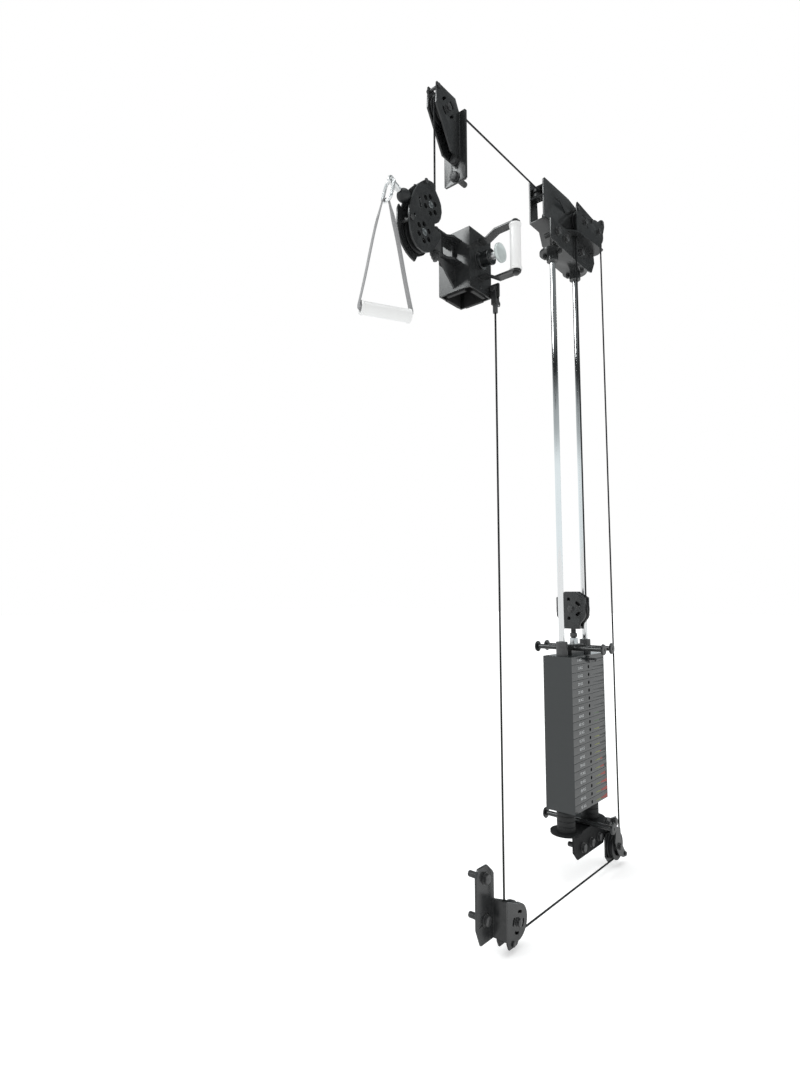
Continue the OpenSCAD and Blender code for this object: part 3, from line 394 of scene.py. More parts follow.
def refinish(mesh, *materials):
    mesh.materials.clear()
    for material in materials:
        mesh.materials.append(material)
    return mesh


def smooth_finish(mesh, material, sharp=SOLID_SHARP):
    """Smooth shading with crisp corners, sharp edges marked for the painted highlight and one
    finish.
    """
    mark_highlight_edges(mesh)
    mesh.polygons.foreach_set("use_smooth", [True] * len(mesh.polygons))
    mesh.set_sharp_from_angle(angle=radians(sharp))
    return refinish(mesh, material)


def mesh_of(work, name):
    mesh = bpy.data.meshes.new(name)
    work.to_mesh(mesh)
    work.free()
    return mesh


def outward_mesh(work, name):
    bmesh.ops.recalc_face_normals(work, faces=work.faces)
    return mesh_of(work, name)


def eased_copy(node, width, steps=2):
    """A copy of a solid with eased edges, standing for the node."""
    work = bmesh.new()
    work.from_mesh(NODES[node].data)
    bmesh.ops.remove_doubles(work, verts=work.verts, dist=MERGE_REACH)
    bmesh.ops.dissolve_limit(work, angle_limit=FLAT_ANGLE, verts=work.verts, edges=work.edges)
    obj = linked(node + "_piece", mesh_of(work, node + "_eased"))
    bevel = obj.modifiers.new("eased", "BEVEL")
    bevel.width = width
    bevel.segments = steps
    bevel.limit_method = "ANGLE"
    bevel.angle_limit = EASED_ANGLE
    bevel.use_clamp_overlap = True
    mesh = evaluated_mesh(obj, node + "_mesh")
    obj.modifiers.clear()
    obj.data = smooth_finish(mesh, FINISH[SLOT_OF[node]])
    return settle(obj, BODY_OF[node], SLOT_OF[node], node)


def mm(profile):
    """A profile written in millimetres."""
    return [(r * MM, h * MM) for r, h in profile]


def rounded(profile, radius, steps=3, closed=False):
    """A profile written in millimetres with its corners turned into short arcs."""
    points = [Vector(point) for point in mm(profile)]
    out = []
    count = len(points)
    for k, here in enumerate(points):
        if not closed and k in (0, count - 1):
            out.append(here)
            continue
        back, ahead = points[k - 1] - here, points[(k + 1) % count] - here
        reach = min(radius * MM, back.length * 0.45, ahead.length * 0.45)
        start, end = here + back.normalized() * reach, here + ahead.normalized() * reach
        for i in range(steps + 1):
            t = i / steps
            out.append(start * (1 - t) ** 2 + here * 2 * t * (1 - t) + end * t**2)
    return out


def circle(count):
    return [2 * pi * k / count for k in range(count)]


def ring_of(work, centre, side, other, radius, sides):
    """Vertices round a centre, or the centre alone without a radius."""
    if radius < ON_AXIS:
        return [work.verts.new(centre)]
    return [
        work.verts.new(centre + (side * cos(a) + other * sin(a)) * radius)
        for a in circle(sides)
    ]


def loft(work, rings, capped=True):
    """Faces between neighbouring rings, with both ends closed when capped."""
    for low, high in zip(rings, rings[1:]):
        count = max(len(low), len(high))
        for i in range(count):
            j = (i + 1) % count
            if len(low) == 1 and len(high) > 1:
                work.faces.new((low[0], high[i], high[j]))
            elif len(high) == 1 and len(low) > 1:
                work.faces.new((low[j], low[i], high[0]))
            elif len(low) > 1:
                work.faces.new((low[i], low[j], high[j], high[i]))
    if capped:
        work.faces.new(rings[-1])
        work.faces.new(rings[0][::-1])


def across(axis):
    axis = Vector(axis).normalized()
    side = axis.orthogonal().normalized()
    return axis, side, axis.cross(side)


def turned(work, profile, origin, axis, sides=40, loop=False):
    """Adds a body of revolution from (radius, height along the axis)."""
    axis, side, other = across(axis)
    origin = Vector(origin)
    rings = [
        ring_of(work, origin + axis * height, side, other, radius, sides)
        for radius, height in profile
    ]
    loft(work, rings + rings[:1] if loop else rings, capped=False)


def hex_head(work, origin, axis, reach, height, both=False):
    """Adds a six-sided head with the chamfer of a turned crown."""
    axis, side, other = across(axis)
    flat = reach * cos(radians(30))
    inner = flat * HEX_CROWN
    rows = [[], [], [], []]
    for k, a in enumerate(circle(HEX_POINTS)):
        edge = flat / cos(radians((360.0 * k / HEX_POINTS % 60) - 30))
        drop = (edge - inner) * 0.5
        foot = [(inner, 0.0), (edge, drop)] if both else [(edge * 0.99, 0.0), (edge, 0.3 * MM)]
        spoke = side * cos(a) + other * sin(a)
        for row, (r, z) in zip(rows, foot + [(edge, height - drop), (inner, height)]):
            row.append(work.verts.new(Vector(origin) + spoke * r + axis * z))
    loft(work, rows)


def turned_piece(name, parts, body, slot, *nodes, sides=40, finish=None):
    """One piece from turned bodies: (profile, origin, axis[, closed])."""
    work = bmesh.new()
    for profile, origin, axis, *loop in parts:
        turned(work, profile, origin, axis, sides, bool(loop))
    mesh = smooth_finish(outward_mesh(work, name), finish or FINISH[slot])
    return settle(linked(name, mesh), body, slot, *nodes)


# Geometry node trees: one places copies on points, one lays beads on a line. A random
# value node takes its range and gives its number on these sockets.

RANDOM_LOW, RANDOM_HIGH, RANDOM_OUT = 2, 3, 1
BEAD_SEED = 11


def geometry_tree(name, **inputs):
    sockets = {"Geometry": "Geometry", **inputs, "Material": "Material"}
    return new_tree(name, "Geometry", sockets, {"Geometry": "Geometry"})


def end_tree(tree, gin, gout, inputs):
    """Copies on points, made real, with the chosen finish: how both trees end."""
    place = add_node(tree, "GeometryNodeInstanceOnPoints", inputs)
    real = add_node(tree, "GeometryNodeRealizeInstances", {0: (place, 0)})
    inputs = {"Geometry": (real, 0), "Material": (gin, "Material")}
    fill(gout, {0: (add_node(tree, "GeometryNodeSetMaterial", inputs), 0)})


def placed_tree():
    """Puts the template on each point, turned and scaled as the point says."""
    tree, gin, gout, ids = geometry_tree("placed_copies", Template="Object")
    info = add_node(tree, "GeometryNodeObjectInfo", {"Object": (gin, "Template")})
    inputs = {"Points": (gin, "Geometry"), "Instance": (info, "Geometry")}
    kind = "GeometryNodeInputNamedAttribute"
    for name, socket in (("turn", "Rotation"), ("size", "Scale")):
        value = add_node(tree, kind, {"Name": name}, data_type="FLOAT_VECTOR")
        inputs[socket] = (value, "Attribute")
    end_tree(tree, gin, gout, inputs)
    return tree, ids


def bead_tree():
    """Lays flattened beads along each edge, as a weld or a row of stitches."""
    tree, gin, gout, ids = geometry_tree(
        "beads_on_lines", Pitch="Float", Bead="Vector", Jitter="Float"
    )
    curve = add_node(tree, "GeometryNodeMeshToCurve", {0: (gin, "Geometry")})
    inputs = {"Curve": (curve, 0), "Length": (gin, "Pitch")}
    points = add_node(tree, "GeometryNodeCurveToPoints", inputs, mode="LENGTH")
    ball = add_node(tree, "GeometryNodeMeshIcoSphere", {"Radius": 1.0, "Subdivisions": 2})
    low = maths(tree, "SUBTRACT", 1.0, (gin, "Jitter"))
    inputs = {RANDOM_LOW: low, RANDOM_HIGH: 1.0, "Seed": BEAD_SEED}
    share = add_node(tree, "FunctionNodeRandomValue", inputs, data_type="FLOAT")
    inputs = {0: (gin, "Bead"), "Scale": (share, RANDOM_OUT)}
    size = add_node(tree, "ShaderNodeVectorMath", inputs, operation="SCALE")
    end_tree(tree, gin, gout, {
        "Points": (points, "Points"), "Instance": (ball, "Mesh"), "Rotation": (points, "Rotation"),
        "Scale": (size, 0),
    })
    return tree, ids


PLACED = placed_tree()
BEADS = bead_tree()


def through_tree(source, tree_and_ids, name, **values):
    tree, ids = tree_and_ids
    obj = linked(name + "_points", source)
    modifier = obj.modifiers.new("tree", "NODES")
    modifier.node_group = tree
    for label, value in values.items():
        modifier[ids[label]] = value
    mesh = evaluated_mesh(obj, name)
    bpy.data.objects.remove(obj)
    return mesh


PLAIN_ROW = ((0, 0, 0), (0, 0, 0), (1, 1, 1))


def placed_copies(template, rows, material, name):
    """Copies of the template mesh at rows of (place, turn in degrees, scale)."""
    holder = linked(name + "_template", template)
    rows = [(*row, *PLAIN_ROW[len(row):]) for row in rows]
    points = bpy.data.meshes.new(name + "_places")
    points.from_pydata([place for place, _, _ in rows], [], [])
    turns = [radians(value) for _, turn, _ in rows for value in turn]
    sizes = [value for _, _, size in rows for value in size]
    for label, values in (("turn", turns), ("size", sizes)):
        layer = points.attributes.new(label, "FLOAT_VECTOR", "POINT")
        layer.data.foreach_set("vector", values)
    mesh = through_tree(points, PLACED, name, Template=holder, Material=material)
    bpy.data.objects.remove(holder)
    return mesh


def joined(meshes, name):
    work = bmesh.new()
    for mesh in meshes:
        work.from_mesh(mesh)
    return mesh_of(work, name)


def fastener_piece(name, body, sets, *nodes, slot="dark_steel", finish=None, sharp=30.0):
    """One piece from sets of (template mesh, rows), standing for the nodes."""
    finish = finish or FINISH[slot]
    parts = [
        placed_copies(mesh, rows, finish, f"{name}_{k}") for k, (mesh, rows) in enumerate(sets)
    ]
    mesh = smooth_finish(joined(parts, name), finish, sharp)
    return settle(linked(name, mesh), body, slot, *nodes)


def bead_lines(name, lines, pitch, bead, jitter, body, slot, finish):
    """Beads along each polyline, with pitch and bead in millimetres."""
    verts, edges = [], []
    for line in lines:
        start = len(verts)
        verts.extend(line)
        edges.extend((start + k, start + k + 1) for k in range(len(line) - 1))
    source = bpy.data.meshes.new(name + "_lines")
    source.from_pydata(verts, edges, [])
    mesh = through_tree(
        source, BEADS, name, Pitch=pitch * MM, Bead=[size * MM for size in bead], Jitter=jitter,
        Material=finish,
    )
    return settle(linked(name, smooth_finish(mesh, finish, 80.0)), body, slot)


# Every carried node gets its own finish first
for node_name, node_object in NODES.items():
    refinish(node_object.data, FINISH[SLOT_OF[node_name]])


# Sizes that the pieces share, in metres, as the solids have them

FLOOR_Z = -152 * MM
ROD_OFF = 87 * MM
HALF = 37.5 * MM
PLATE_S = 5 * MM
BRACKET_S = 6 * MM
ROD_TOP = 1.947
SADDLE_LOW = ROD_TOP - 8 * MM
STACK_Z = 72 * MM
PLATE_T = 25.5 * MM
PLATE_COUNT = 18
TOP_Z = STACK_Z + PLATE_COUNT * PLATE_T
HEAD_TOP = TOP_Z + PLATE_T
FLOAT_Z = HEAD_TOP + 152 * MM
FLOAT_R = 47.5 * MM
SMALL_R = 40 * MM
HEAD_Z = 2.0884
LOW_Z = -83 * MM
LOOP_X = 65.5 * MM
REAR_Y = 171 * MM
DROP_Y = -754 * MM
FRONT_Y = -654 * MM
POST_Y = -616.5 * MM
CLEVIS_Y = -565.3 * MM
FOOT_Y = -525.3 * MM
INNER_RUN = 157 * MM
SLEEVE_Z = 1.583
SLEEVE_HALF = 52.5 * MM
PIN_Z = SLEEVE_Z + 91 * MM
GRIP_X = HALF + 125.5 * MM
CHEEK_OUT = 17 * MM
CHEEK_IN = 12 * MM
CABLE_R = 2.75 * MM

# The two cables over the crossover, each tilted from the stack's middle line
TILT_OUT = atan((LOOP_X - FLOAT_R) / REAR_Y)
TILT_IN = atan(FLOAT_R / INNER_RUN)
SPAN_OUT = REAR_Y / cos(TILT_OUT)
OUT_DIR = Vector((sin(TILT_OUT), cos(TILT_OUT), 0))
OUT_SIDE = OUT_DIR.cross(Z)
IN_DIR = Vector((-sin(TILT_IN), cos(TILT_IN), 0))
ROLLER_R = 12 * MM
ROLLER = Vector((-ROLLER_R, -INNER_RUN - ROLLER_R * tan(TILT_IN / 2), HEAD_Z + SMALL_R))

# Wheel centres
HEAD_WHEEL = Vector((0, DROP_Y + SMALL_R, HEAD_Z))
INNER_WHEEL = Vector((-FLOAT_R, 0, HEAD_Z)) - IN_DIR * SMALL_R
OUTER_START = Vector((FLOAT_R, 0, HEAD_Z))
OUTER_FRONT_WHEEL = OUTER_START + OUT_DIR * SMALL_R
OUTER_REAR_WHEEL = OUTER_START + OUT_DIR * (SPAN_OUT - SMALL_R)
FOOT_WHEEL = Vector((LOOP_X, FOOT_Y, LOW_Z))
REAR_FOOT_WHEEL = Vector((LOOP_X, REAR_Y - SMALL_R, LOW_Z))
ARM_UPPER_WHEEL = Vector((0, DROP_Y - SMALL_R, SLEEVE_Z + 183 * MM))
ARM_LOWER_WHEEL = Vector((0, DROP_Y - 66.5 * MM, SLEEVE_Z + 96 * MM))
FLOAT_WHEEL = Vector((0, 0, FLOAT_Z))

# Ball stop, eye and carabiner on the cable's end, and the handle that hangs from them
EXIT_ANGLE = radians(19.7)
EXIT_DIR = Vector((0, -cos(EXIT_ANGLE), sin(EXIT_ANGLE)))
BALL = Vector((0, DROP_Y - 128 * MM, SLEEVE_Z + 172 * MM))
BALL_R = 17.5 * MM
EYE = BALL + EXIT_DIR * 50 * MM
HOOK_R = 14 * MM
HOOK_WIRE = 4 * MM
HOOK_TOP = -1.3 * MM
HOOK_LOW = HOOK_TOP - 66 * MM
HOOK_TURN = Matrix.Rotation(radians(-16), 3, "X")
STRAP_TOP = EYE + HOOK_TURN @ Vector((0, 0, HOOK_LOW))
GRIP_Z = STRAP_TOP.z - 280 * MM
HANDLE_TURN = radians(-27)
HANDLE_Y = Vector((-sin(HANDLE_TURN), cos(HANDLE_TURN), 0))
HANDLE_X = Vector((cos(HANDLE_TURN), sin(HANDLE_TURN), 0))
HANDLE_HALF = 63.5 * MM


# Plates, brackets and other solids whose form is right: the same form with eased edges

EASED = {
    0.9 * MM: """
        base_bracket top_saddle crossover_bracket crossover_outer_cheek head_bracket
        foot_bracket foot_covers rear_foot_bracket trolley_sleeve swivel_bracket handle_arms
        arm_cheeks floating_cheeks stack_yoke swivel_block cable_clevis slider_pads
    """,
    0.6 * MM: """
        head_pulley inner_drop_pulley outer_front_pulley outer_rear_pulley foot_pulley
        rear_foot_pulley arm_upper_pulley arm_lower_pulley floating_pulley guide_roller
        stack_collars rod_sockets selector_pin stack_cushions guide_rod_front guide_rod_rear
    """,
}


def ease_solids():
    for width, nodes in EASED.items():
        for node in nodes.split():
            piece = eased_copy(node, width)
            # The base bracket takes the painted-shade copy of the black paint.
            if node == "base_bracket":
                refinish(piece.data, SHADED_BRACKET_PAINT)


# Weight stack

PLATE_EASE = 0.1 * MM
PLATE_RISE = 0.27 * MM


def make_plates():
    """The plates below the top one, each nearly touching the next."""
    plate = eased_copy("top_weight_plate", PLATE_EASE, 1).data
    middle = TOP_Z + 0.5 * PLATE_T
    for vertex in plate.vertices:
        if vertex.co.z > middle:
            vertex.co.z += PLATE_RISE
    rows = [((0, 0, -PLATE_T * (k + 1)),) for k in range(PLATE_COUNT)]
    finish = FINISH["plate_iron"]
    mesh = smooth_finish(placed_copies(plate, rows, finish, "weight_plates"), finish)
    settle(linked("weight_plates_piece", mesh), "stand", "plate_iron", "weight_plates")


# Printed numbers and coloured marks on the plates' faces, as thin raised meshes

LABEL_X = 50.06 * MM
LABEL_LEFT = -80 * MM
LABEL_RISE = 0.08 * MM
LABEL_DEPTH = 0.1 * MM
LETTER = 12.6 * MM
LETTER_DROP = 3.6 * MM
ROW_LEVEL = 12.6 * MM
FACE_TURN = Matrix(((0, 0, 1), (1, 0, 0), (0, 1, 0))).to_4x4()
DASH = (31 * MM, 69 * MM)
WEDGE = (70 * MM, 119 * MM)
KG_STEP = 5
GREEN_ROW = 7
YELLOW_ROW = 9
RED_FROM, RED_SPAN = 11.2, 5.0
STEEP_FROM = 10


def row_height(row):
    return TOP_Z + ROW_LEVEL - row * PLATE_T


def print_piece(name, body, meshes, material):
    mesh = refinish(joined(meshes, name), material)
    settle(linked(name, mesh), body, "plate_iron")


def number_mesh(row):
    curve = bpy.data.curves.new("number", "FONT")
    curve.body = f"{KG_STEP * (row + 1)} KG"
    curve.size = LETTER
    curve.extrude = LABEL_RISE
    curve.resolution_u = 2
    curve.space_character = 1.08
    holder = linked("number", curve)
    mesh = evaluated_mesh(holder, f"number_{row}")
    bpy.data.objects.remove(holder)
    place = Matrix.Translation((LABEL_X, LABEL_LEFT, row_height(row) - LETTER_DROP))
    mesh.transform(place @ FACE_TURN)
    return mesh


def mark_mesh(outline, name):
    work = bmesh.new()
    faces = [
        [work.verts.new((x, y, z)) for y, z in outline]
        for x in (LABEL_X - LABEL_DEPTH, LABEL_X + LABEL_RISE)
    ]
    loft(work, faces)
    return outward_mesh(work, name)


def row_marks(row):
    """Dash and wedge of a row, as (colour, mesh). The wedge turns red down the stack."""
    z = row_height(row)
    colour = "dark" if row < GREEN_ROW else "green" if row < YELLOW_ROW else "yellow"
    dash = [(DASH[0], -3.0), (DASH[1], -4.6), (DASH[1], -1.6), (DASH[0], -1.8)]
    marks = [(colour, [(y, z + h * MM) for y, h in dash])]
    length = WEDGE[1] - WEDGE[0]
    split = WEDGE[0] + length * min(max((row - RED_FROM) / RED_SPAN, 0.0), 1.0)
    fall = 2.0 + 5.0 * max(row - STEEP_FROM, 0) / 8
    for colour, start, end in (("red", WEDGE[0], split), ("dark", split, WEDGE[1])):
        if end - start > 0.5 * MM:
            falls = [(y, fall * (y - WEDGE[0]) / length) for y in (start, end)]
            low = [(y, z - (4.6 + f) * MM) for y, f in falls]
            high = [(y, z - (1.6 - 0.6 * f) * MM) for y, f in falls]
            marks.append((colour, low + high[::-1]))
    return [(colour, mark_mesh(outline, f"mark_{row}")) for colour, outline in marks]


def make_labels():
    rows = range(PLATE_COUNT + 1)
    print_piece("stack_numbers", "stand", [number_mesh(r) for r in rows if r], LABEL["pale"])
    print_piece("top_plate_number", "stack_top", [number_mesh(0)], LABEL["pale"])
    marks = {}
    for row in rows:
        for colour, mesh in row_marks(row):
            marks.setdefault((colour, row == 0), []).append(mesh)
    for (colour, top), meshes in marks.items():
        body, name = ("stack_top", "top_plate_marks") if top else ("stand", "stack_marks")
        print_piece(f"{name}_{colour}", body, meshes, LABEL[colour])


NUT_TOP = 54.1 * MM
STUD_PITCH = 1.4


def make_stem():
    """Lower nut bright, the stud, upper nut and neck black."""
    mesh = eased_copy("stack_stem", 0.6 * MM).data
    refinish(mesh, FINISH["bright_steel"], FINISH["dark_steel"])
    for face in mesh.polygons:
        face.material_index = int(face.center.z > HEAD_TOP + NUT_TOP)
    levels = [low + STUD_PITCH * k for low, count in ((54.6, 3), (70.4, 7)) for k in range(count)]
    thread = mm([(7.9, 0), (8.7, 0.55), (7.9, 1.1)])
    rings = [(thread, (0, 0, HEAD_TOP + level * MM), Z, True) for level in levels]
    turned_piece("stud_thread", rings, "stack_top", "dark_steel", sides=28)


def band_bar(name, places, z, body, node):
    """Round bars with a dished disc on each end."""
    bar = mm([(0, -116), (8, -116), (8, 116), (0, 116)])
    disc = rounded(
        [(0, -2), (17.6, -2), (18.4, -0.8), (16.6, 4), (4.2, 4), (3.4, 2.6), (0, 2.6)], 0.5
    )
    parts = []
    for y in places:
        parts.append((bar, (0, y * MM, z), X))
        parts += [(disc, (s * 117 * MM, y * MM, z), X * s) for s in (-1, 1)]
    turned_piece(name, parts, body, "black_paint", node)


# Fastener templates, all along +Z and written in millimetres

THREAD_PITCH = 1.9
CHEEK_ENDS = (CHEEK_OUT / MM, CHEEK_IN / MM)


def washer(bore, reach, thick):
    return rounded([(bore, 0), (reach, 0), (reach, thick), (bore, thick)], 0.3, 2, True)


def template(name, bodies, heads=()):
    """Bodies are (profile, sides, loop[, foot, way]), heads (foot, way, reach, height[, both])."""
    work = bmesh.new()
    for profile, sides, loop, *place in bodies:
        foot, way = place or (0, 1)
        turned(work, profile, Z * foot * MM, Z * way, sides, loop)
    for foot, way, reach, height, *both in heads:
        hex_head(work, Z * foot * MM, Z * way, reach * MM, height * MM, bool(both))
    return outward_mesh(work, name)


def rack_bolt_template():
    """Head, washer and threaded shank, with the plate's face at z = 0."""
    tip = mm([(0, 9.9), (5.2, 9.9), (4.6, 10.2), (0, 10.2)])
    shank = mm([(0, -49.5), (7, -49.5), (7.5, -48), (7.5, 1), (0, 1)])
    neck = mm([(7.4, -11), (8, -10.6), (8, 0.5), (7.4, 0.6)])
    bodies = [(tip, 28, False), (shank, 28, False), (neck, 28, True)]
    bodies.append((washer(8, 15, 1.8), 36, True))
    for k in range(19):
        low = -48 + k * THREAD_PITCH
        thread = mm([(7.4, low), (8, low + 0.75), (8, low + 1.0), (7.4, low + 1.75)])
        bodies.append((thread, 24, True))
    return template("rack_bolt", bodies, [(1.7, 1, 13, 8.3)])


def hub_washers(gap):
    return [(washer(6.2, 10.2, 0.9), 32, True, s * (gap - 0.85), s) for s in (-1, 1)]


def axle_template():
    """Pulley axle through both cheeks, head up, nut down."""
    out, gap = CHEEK_ENDS
    pin = [(0, -out - 8.4), (5.3, -out - 8.4), (6, -out - 7.6), (6, out + 1), (0, out + 1)]
    tip = [(0, out + 6.9), (6.2, out + 6.9), (5.4, out + 7.3), (0, out + 7.3)]
    bodies = [(mm(pin), 32, False), (mm(tip), 28, False)]
    bodies += [(washer(6, 11.4, 1.4), 36, True, s * out, s) for s in (-1, 1)]
    heads = [(s * (out + 1.3), s, 10.2, 5.7) for s in (-1, 1)]
    return template("axle", bodies + hub_washers(gap), heads)


def hub_template():
    """Low round heads in the hub of an arm wheel, through both cheeks."""
    out, gap = CHEEK_ENDS
    pin = mm([(0, -out - 5), (6, -out - 5), (6, out + 1), (0, out + 1)])
    head = [(6, 0), (9.4, 0), (9.4, 2.4), (8.6, 3.2), (5.2, 3.2), (4.6, 1.6), (0, 1.6)]
    head = rounded(head + [(0, 0.5)], 0.3, 2)
    bodies = [(pin, 32, False)] + [(head, 40, False, s * out, s) for s in (-1, 1)]
    return template("hub_pin", bodies + hub_washers(gap))


def keeper_template(low=-CHEEK_ENDS[1], ends=(-1, 1)):
    """Keeper pin with its spacer between the cheeks and a head on each end named."""
    out, gap = CHEEK_ENDS
    foot = -gap - 8 if -1 in ends else low
    pin = mm([(0, foot), (3.9, foot), (3.9, gap + 8), (0, gap + 8)])
    spacer = rounded([(3.8, low), (4.5, low), (4.5, gap), (3.8, gap)], 0.2, 2, True)
    heads = [(s * out, s, 7, 4) for s in ends]
    return template("keeper", [(pin, 24, False), (spacer, 28, True)], heads)


def pin_template(low, high, radius, nuts):
    """Plain pin with six-sided nuts or heads: (bottom, height, reach)."""
    pin = rounded([(0, low), (radius, low), (radius, high), (0, high)], 0.7, 2)
    heads = [(bottom, 1, reach, height, True) for bottom, height, reach in nuts]
    return template("pin", [(pin, 32, False)], heads)


def screw_template():
    """Button head with its socket."""
    dome = [(0, -0.6), (4.4, -0.6), (4.4, 0.3), (3.9, 1.4), (2.8, 2.1), (1.9, 2.2)]
    return template("screw", [(rounded(dome + [(1.6, 0.9), (0, 0.9)], 0.25, 2), 28, False)])


# Fasteners, as rows of (place, turn in degrees, scale)

ALONG_X = (0, 90, 0)
AGAINST_X = (0, -90, 0)
TO_FRONT = (90, 0, 0)
TO_REAR = (-90, 0, 0)
OUT_TURN = (0, 90, -degrees(TILT_OUT))
IN_TURN = (0, 90, degrees(TILT_IN))


def outer(y, rise):
    """A place beside the outer cheeks, in metres along the tilted run."""
    return (OUTER_START + OUT_DIR * y + Z * rise * MM, OUT_TURN)


def make_fasteners():
    face = HALF + PLATE_S
    racks = [((face, y * MM, -42 * MM), ALONG_X) for y in (-60, 0, 60)]
    racks += [((face, y * MM, ROD_TOP + 40 * MM), ALONG_X) for y in (-128, -68, 52)]
    racks += [((HALF + BRACKET_S, POST_Y, z * MM), ALONG_X) for z in (-58, 42)]
    racks += [((face, REAR_Y + y * MM, -26 * MM), ALONG_X) for y in (-35, 15)]
    racks += [((0, FRONT_Y - BRACKET_S, HEAD_Z - z * MM), TO_FRONT) for z in (166.4, 116.4)]
    fastener_piece(
        "mounting_bolts_piece", "stand", [(rack_bolt_template(), racks)], "mounting_bolts"
    )
    axles = [
        (HEAD_WHEEL, ALONG_X), (OUTER_FRONT_WHEEL, OUT_TURN), (OUTER_REAR_WHEEL, OUT_TURN),
        (INNER_WHEEL, IN_TURN), (FOOT_WHEEL, ALONG_X), (REAR_FOOT_WHEEL, ALONG_X),
    ]
    roller = pin_template(-23, 23, 4, [(-24.4, 4, 7), (20.5, 4, 7)])
    sets = [(axle_template(), axles), (roller, [(ROLLER,)])]
    fastener_piece("pulley_axles_piece", "stand", sets, "pulley_axles")
    keepers = [
        outer(-6 * MM, 30), outer(86 * MM, 22), ((0, DROP_Y - 2 * MM, HEAD_Z + 38 * MM), ALONG_X),
        ((LOOP_X, FOOT_Y - 25.7 * MM, LOW_Z - 43.6 * MM), ALONG_X),
        ((LOOP_X, REAR_Y + 5 * MM, LOW_Z - 36 * MM), ALONG_X),
    ]
    short = [outer(SPAN_OUT - 13 * MM, 45)]
    sets = [(keeper_template(), keepers), (keeper_template(-9, (1,)), short)]
    fastener_piece("keeper_bolts_piece", "stand", sets, "keeper_bolts")

    hubs = [(ARM_UPPER_WHEEL, ALONG_X), (ARM_LOWER_WHEEL, ALONG_X)]
    fastener_piece(
        "arm_hub_axles", "arm", [(hub_template(), hubs)], "arm_axles",
        slot="bright_steel", finish=HUB_STEEL, sharp=35.0,
    )
    ties = [
        ((0, DROP_Y + y * MM, SLEEVE_Z + z * MM), ALONG_X) for y, z in ((-116, 112), (-58, 240))
    ]
    fastener_piece("arm_tie_bolts", "arm", [(keeper_template(), ties)], "arm_axles")
    level = [(FLOAT_WHEEL, (0, 90, 90))]
    fastener_piece("floating_axle_piece", "stack_top", [(axle_template(), level)], "floating_axle")
    swivel, grip = (0, DROP_Y, SLEEVE_Z), (GRIP_X, POST_Y, SLEEVE_Z)
    sets = [
        (pin_template(52, 139, 6, [(59, 11, 10.4), (138, 7, 10)]), [(swivel,)]),
        (pin_template(12, 60, 5, [(13, 6, 9)]), [(grip,)]),
        (pin_template(120, 167, 5, [(160, 6, 9)]), [(grip,)]),
    ]
    fastener_piece("trolley_bolts_piece", "trolley", sets, "trolley_bolts")

    side, small = SLEEVE_HALF, (0.7, 0.7, 0.7)
    levels = (SLEEVE_Z + 157 * MM, SLEEVE_Z + 13 * MM)
    screws = [((0, POST_Y - side, levels[0]), TO_FRONT)]
    for x in (45.7, -45.7):
        screws.append(((x * MM, POST_Y - side, SLEEVE_Z + 110 * MM), TO_FRONT, small))
    screws += [((0, POST_Y + side, z), TO_REAR) for z in levels]
    screws += [((side, POST_Y, z), ALONG_X) for z in levels]
    screws += [((-side, POST_Y, z), AGAINST_X) for z in levels]
    fastener_piece("pad_screws", "trolley", [(screw_template(), screws)])
    nuts = [((x * MM, s * ROD_OFF, SADDLE_LOW),) for x in (-29, 29) for s in (-1, 1)]
    fastener_piece("saddle_nuts", "stand", [(pin_template(-11, 0.5, 4, [(-8, 8, 7.5)]), nuts)])


# Turned pieces


def make_grips():
    half = [(5.2, -64.5), (16.5, -64.5), (16.5, -58.5), (14.5, -57), (14.5, -49.5)]
    half += [(14.1, -49), (14.5, -48.5)]
    sleeve = [(r, 89.5 + h) for r, h in half]
    sleeve += [(r, 89.5 - h) for r, h in reversed(half)]
    turned_piece(
        "trolley_grip_piece",
        [(rounded(sleeve, 1.1, 3, True), (GRIP_X, POST_Y, SLEEVE_Z), Z, True)], "trolley",
        "pale_grip", "trolley_grip", sides=56,
    )
    half = [(11.4, -63.5), (17.5, -63.5), (17.5, -58.5), (16, -56.5)]
    sleeve = half + [(r, -h) for r, h in reversed(half)]
    turned_piece(
        "handle_grip_piece",
        [(rounded(sleeve, 1.3, 4, True), (0, STRAP_TOP.y, GRIP_Z), HANDLE_Y, True)], "grip",
        "pale_grip", "handle_grip", sides=56,
    )


def make_cable_end():
    angles = [radians(-78 + 156 * k / 18) for k in range(19)]
    ball = [(BALL_R * cos(a), BALL_R * sin(a)) for a in angles]
    ball = mm([(3.0, -16.8)]) + ball + mm([(3.0, 16.8)])
    turned_piece(
        "ball_stop_piece", [(ball, BALL, EXIT_DIR, True)], "arm", "stop_rubber", "ball_stop",
        sides=56,
    )
    stem = [(2.9, 17.4), (6.2, 17.4), (7, 18.4), (7, 20), (6.3, 20.6), (6.3, 21.6), (7, 22.2)]
    stem += [(7, 24), (6.3, 24.6), (6.3, 25.6), (7, 26.2), (7, 36), (6, 41), (2.9, 42)]
    stem += [(0, 42), (0, 17.4)]
    eye_ring = rounded([(6.5, -4), (11, -4), (11, 4), (6.5, 4)], 1.9, 4, True)
    turned_piece(
        "cable_eye_piece", [(mm(stem), BALL, EXIT_DIR), (eye_ring, EYE, X, True)], "arm",
        "bright_steel", "cable_eye", sides=44, finish=EYE_STEEL,
    )


